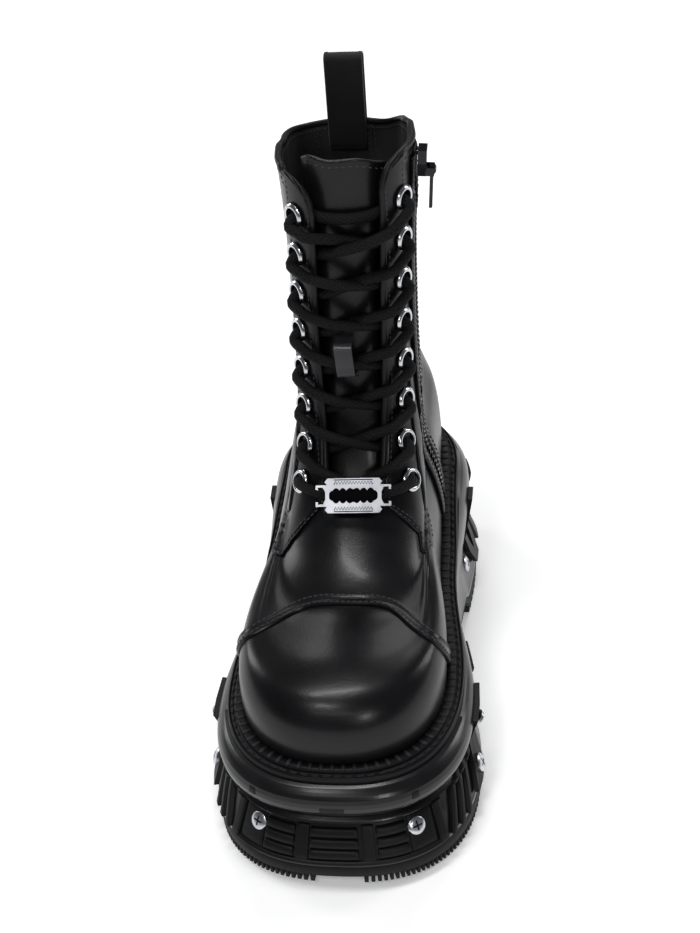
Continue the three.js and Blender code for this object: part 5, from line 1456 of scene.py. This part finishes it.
def build_screws():
    """The heads of the eight screws, each square to the platform's side where its node stands."""
    for name, (turn, rise) in SCREW_PLACES.items():
        for label, at in (("medial", turn), ("lateral", 1 - turn)):
            node = f"screw_{name}_{label}"
            centre = node_centre(node)
            one, r = np.array([at]), np.array([rise])
            along = platform_point(one + 0.002, r)[0] - platform_point(one - 0.002, r)[0]
            up = platform_point(one, r + 0.03)[0] - platform_point(one, r - 0.03)[0]
            normal = unit(np.cross(along, up))
            normal = normal if normal @ (centre * (1, 0.4, 0)) > 0 else -normal
            bm = screw_mesh()
            bm.transform(frame_at(centre + normal * 0.2, normal, along))
            finish_piece(bm, f"{node}_head", ("zinc",), [node])


def build_flaps():
    """Both quarter flaps."""
    build_flap(1, "medial")
    build_flap(-1, "lateral")


def dress_cad_nodes():
    """Gives every node that is still shown its finish."""
    by_name, by_slot = {"charm": "charm"}, {"steel": "zinc"}
    slots = {row["node"]: row["material_slot"] for row in frame["record"]["subparts"]}
    for name, node in frame["nodes"].items():
        node.data.materials.clear()
        node.data.materials.append(finish(by_name.get(name, by_slot.get(slots[name], slots[name]))))


# Light: name, place, size in metres and power in watts
LAMPS = (
    ("overhead", (-0.16, -0.10, 2.0), (0.22, 1.1), 15),
    ("front", (-0.10, -1.50, 1.15), (0.9, 0.14), 1.5),
    ("toe_left", (-0.30, -1.02, 1.36), (0.26, 0.2), 3.4),
    ("toe_right", (0.66, -1.40, 0.78), (0.24, 0.24), 3.0),
    ("right", (1.6, 0.9, 0.8), (0.5, 0.9), 8),
    ("left", (-1.6, 0.9, 0.8), (0.5, 0.9), 8),
    ("rear", (0.0, 1.6, 1.7), (1.6, 0.5), 12),
)
LAMP_AIM = (0, 0, 0.14)
FLOOR_GLOW = 0.3
WORLD_GLOW = 0.13
GAMMA = 0.84

# Camera: angles in degrees, place in metres, frame, focal length and aim in pixels, sensor in mm
CAMERA_PITCH = 35.2
CAMERA_YAW = 0.4
CAMERA_PLACE = (0.0892, -0.6238, 0.5875)
FRAME_SIZE = (700, 933)
FOCAL = 1224.5
AIM_AT = (215, 475)
SENSOR = 36
ZOOM = 1.25


def build_stage():
    """The pale floor, the soft lamps and the camera."""
    bm = bmesh.new()
    bmesh.ops.create_grid(bm, x_segments=1, y_segments=1, size=6)
    mesh = bpy.data.meshes.new("floor")
    bm.to_mesh(mesh)
    bm.free()
    floor = bpy.data.objects.new("floor", mesh)
    f = Finish("pale_floor")
    f.set(base_color=f.mix(f.noise(f.place(), 3), grey(0.93), grey(0.95)))
    f.set(roughness=0.8, specular_ior_level=0.2, emission_color=grey(1), emission_strength=FLOOR_GLOW)
    mesh.materials.append(f.material)
    scene = bpy.context.scene
    scene.collection.objects.link(floor)
    scene.world = bpy.data.worlds.new("studio")
    scene.world.use_nodes = True
    background = scene.world.node_tree.nodes["Background"]
    background.inputs["Color"].default_value = (0.96, 0.98, 1.0, 1)
    background.inputs["Strength"].default_value = WORLD_GLOW
    scene.view_settings.view_transform = "Standard"
    scene.view_settings.gamma = GAMMA
    for name, place, size, power in LAMPS:
        light = bpy.data.lights.new(name, "AREA")
        light.shape = "RECTANGLE"
        light.size, light.size_y = size
        light.energy = power
        lamp = bpy.data.objects.new(name, light)
        lamp.location = place
        lamp.rotation_euler = (Vector(LAMP_AIM) - Vector(place)).to_track_quat("-Z", "Y").to_euler()
        scene.collection.objects.link(lamp)
    build_camera()


def build_camera():
    """The camera in front of the toe and above it, turned so that the boot stands left of the middle."""
    pitch = math.radians(CAMERA_PITCH)
    yaw = Matrix.Rotation(math.radians(CAMERA_YAW), 3, "Z")
    forward = yaw @ Vector((0, math.cos(pitch), -math.sin(pitch)))
    up = yaw @ Vector((0, math.sin(pitch), math.cos(pitch)))
    right = yaw @ Vector((1, 0, 0))
    across, down = AIM_AT[0] - FRAME_SIZE[0] / 2, AIM_AT[1] - FRAME_SIZE[1] / 2
    aim = (forward + right * (across / FOCAL) - up * (down / FOCAL)).normalized()
    side = aim.cross(up).normalized()
    turn = Matrix((side, side.cross(aim), -aim)).transposed()
    camera = bpy.data.objects.new("camera", bpy.data.cameras.new("camera"))
    camera.matrix_world = Matrix.Translation(CAMERA_PLACE) @ turn.to_4x4()
    camera.data.sensor_fit = "VERTICAL"
    camera.data.sensor_height = SENSOR
    camera.data.lens = SENSOR * FOCAL * ZOOM / FRAME_SIZE[1]
    bpy.context.scene.collection.objects.link(camera)
    bpy.context.scene.camera = camera


class BOOT_OT_finishes(bpy.types.Operator):
    """Give the construction nodes their finishes"""

    bl_idname = "boot.finishes"
    bl_label = "Finishes"

    def execute(self, context):
        dress_cad_nodes()
        return {"FINISHED"}


class BOOT_OT_upper(bpy.types.Operator):
    """Build the leather upper and its collar binding"""

    bl_idname = "boot.upper"
    bl_label = "Upper"

    def execute(self, context):
        build_upper()
        return {"FINISHED"}


class BOOT_OT_flaps(bpy.types.Operator):
    """Lay the two quarter flaps over the vamp"""

    bl_idname = "boot.flaps"
    bl_label = "Quarter flaps"

    def execute(self, context):
        build_flaps()
        return {"FINISHED"}


class BOOT_OT_toe_seam(bpy.types.Operator):
    """Lay the stitched band across the toe"""

    bl_idname = "boot.toe_seam"
    bl_label = "Toe seam"

    def execute(self, context):
        build_toe_band()
        return {"FINISHED"}


class BOOT_OT_stitches(bpy.types.Operator):
    """Sew the upper's seams"""

    bl_idname = "boot.stitches"
    bl_label = "Stitches"

    def execute(self, context):
        build_stitches()
        return {"FINISHED"}


class BOOT_OT_tongue(bpy.types.Operator):
    """Build the tongue behind the laces"""

    bl_idname = "boot.tongue"
    bl_label = "Tongue"

    def execute(self, context):
        build_tongue()
        return {"FINISHED"}


class BOOT_OT_eyelets(bpy.types.Operator):
    """Set the sixteen eyelets"""

    bl_idname = "boot.eyelets"
    bl_label = "Eyelets"

    def execute(self, context):
        build_eyelets()
        return {"FINISHED"}


class BOOT_OT_laces(bpy.types.Operator):
    """Run the lace through the eyelets"""

    bl_idname = "boot.laces"
    bl_label = "Laces"

    def execute(self, context):
        build_laces()
        return {"FINISHED"}


class BOOT_OT_keeper(bpy.types.Operator):
    """Build the lace keeper on the tongue"""

    bl_idname = "boot.keeper"
    bl_label = "Keeper"

    def execute(self, context):
        build_keeper()
        return {"FINISHED"}


class BOOT_OT_charm(bpy.types.Operator):
    """Engrave the charm on the lowest lace"""

    bl_idname = "boot.charm"
    bl_label = "Charm"

    def execute(self, context):
        build_charm_marks()
        return {"FINISHED"}


class BOOT_OT_loop(bpy.types.Operator):
    """Build the webbing loop behind the collar"""

    bl_idname = "boot.loop"
    bl_label = "Pull loop"

    def execute(self, context):
        build_pull_loop()
        return {"FINISHED"}


class BOOT_OT_zip(bpy.types.Operator):
    """Build the zip's tapes, teeth and facings"""

    bl_idname = "boot.zip"
    bl_label = "Zip"

    def execute(self, context):
        build_zip()
        return {"FINISHED"}


class BOOT_OT_lining(bpy.types.Operator):
    """Sew the seams of the lining and the collar"""

    bl_idname = "boot.lining"
    bl_label = "Lining seams"

    def execute(self, context):
        build_lining_seams()
        return {"FINISHED"}


class BOOT_OT_platform(bpy.types.Operator):
    """Build the platform's moulded side"""

    bl_idname = "boot.platform"
    bl_label = "Platform"

    def execute(self, context):
        build_platform()
        return {"FINISHED"}


class BOOT_OT_welt(bpy.types.Operator):
    """Build the two-tier welt and its stitches"""

    bl_idname = "boot.welt"
    bl_label = "Welt"

    def execute(self, context):
        build_welt()
        return {"FINISHED"}


class BOOT_OT_outsole(bpy.types.Operator):
    """Build the toothed outsole"""

    bl_idname = "boot.outsole"
    bl_label = "Outsole"

    def execute(self, context):
        build_outsole()
        return {"FINISHED"}


class BOOT_OT_sole_relief(bpy.types.Operator):
    """Add ribs, posts, fins and blocks to the sole"""

    bl_idname = "boot.sole_relief"
    bl_label = "Sole relief"

    def execute(self, context):
        build_sole_relief()
        return {"FINISHED"}


class BOOT_OT_screws(bpy.types.Operator):
    """Set the eight cross-head screws"""

    bl_idname = "boot.screws"
    bl_label = "Screws"

    def execute(self, context):
        build_screws()
        return {"FINISHED"}


class BOOT_OT_stage(bpy.types.Operator):
    """Add floor, lamps and camera"""

    bl_idname = "boot.stage"
    bl_label = "Stage"

    def execute(self, context):
        build_stage()
        return {"FINISHED"}


OPERATORS = (
    BOOT_OT_finishes, BOOT_OT_upper, BOOT_OT_flaps, BOOT_OT_toe_seam,
    BOOT_OT_stitches, BOOT_OT_tongue, BOOT_OT_eyelets, BOOT_OT_laces,
    BOOT_OT_keeper, BOOT_OT_charm, BOOT_OT_loop, BOOT_OT_zip,
    BOOT_OT_lining, BOOT_OT_platform, BOOT_OT_welt, BOOT_OT_outsole,
    BOOT_OT_sole_relief, BOOT_OT_screws, BOOT_OT_stage,
)


class BOOT_PT_pieces(bpy.types.Panel):
    """Lists the boot's sizes, finishes and building steps."""

    bl_label = "Platform boot"
    bl_idname = "BOOT_PT_pieces"
    bl_space_type = "VIEW_3D"
    bl_region_type = "UI"
    bl_category = "Boot"

    def draw(self, context):
        for group in (context.scene.boot_sizes, context.scene.boot_finishes):
            for key in group.__annotations__:
                self.layout.prop(group, key)
        for operator in OPERATORS:
            self.layout.operator(operator.bl_idname)


CLASSES = (BootSizes, BootFinishes, *OPERATORS, BOOT_PT_pieces)


def register():
    """Adds the classes and their settings to Blender."""
    for cls in CLASSES:
        bpy.utils.register_class(cls)
    bpy.types.Scene.boot_sizes = bpy.props.PointerProperty(type=BootSizes)
    bpy.types.Scene.boot_finishes = bpy.props.PointerProperty(type=BootFinishes)


def unregister():
    """Takes the classes and their settings out again."""
    del bpy.types.Scene.boot_finishes
    del bpy.types.Scene.boot_sizes
    for cls in reversed(CLASSES):
        bpy.utils.unregister_class(cls)


def main():
    """Builds the boot piece by piece."""
    register()
    for operator in OPERATORS:
        getattr(bpy.ops.boot, operator.bl_idname.split(".")[1])()


if __name__ == "__main__":
    main()
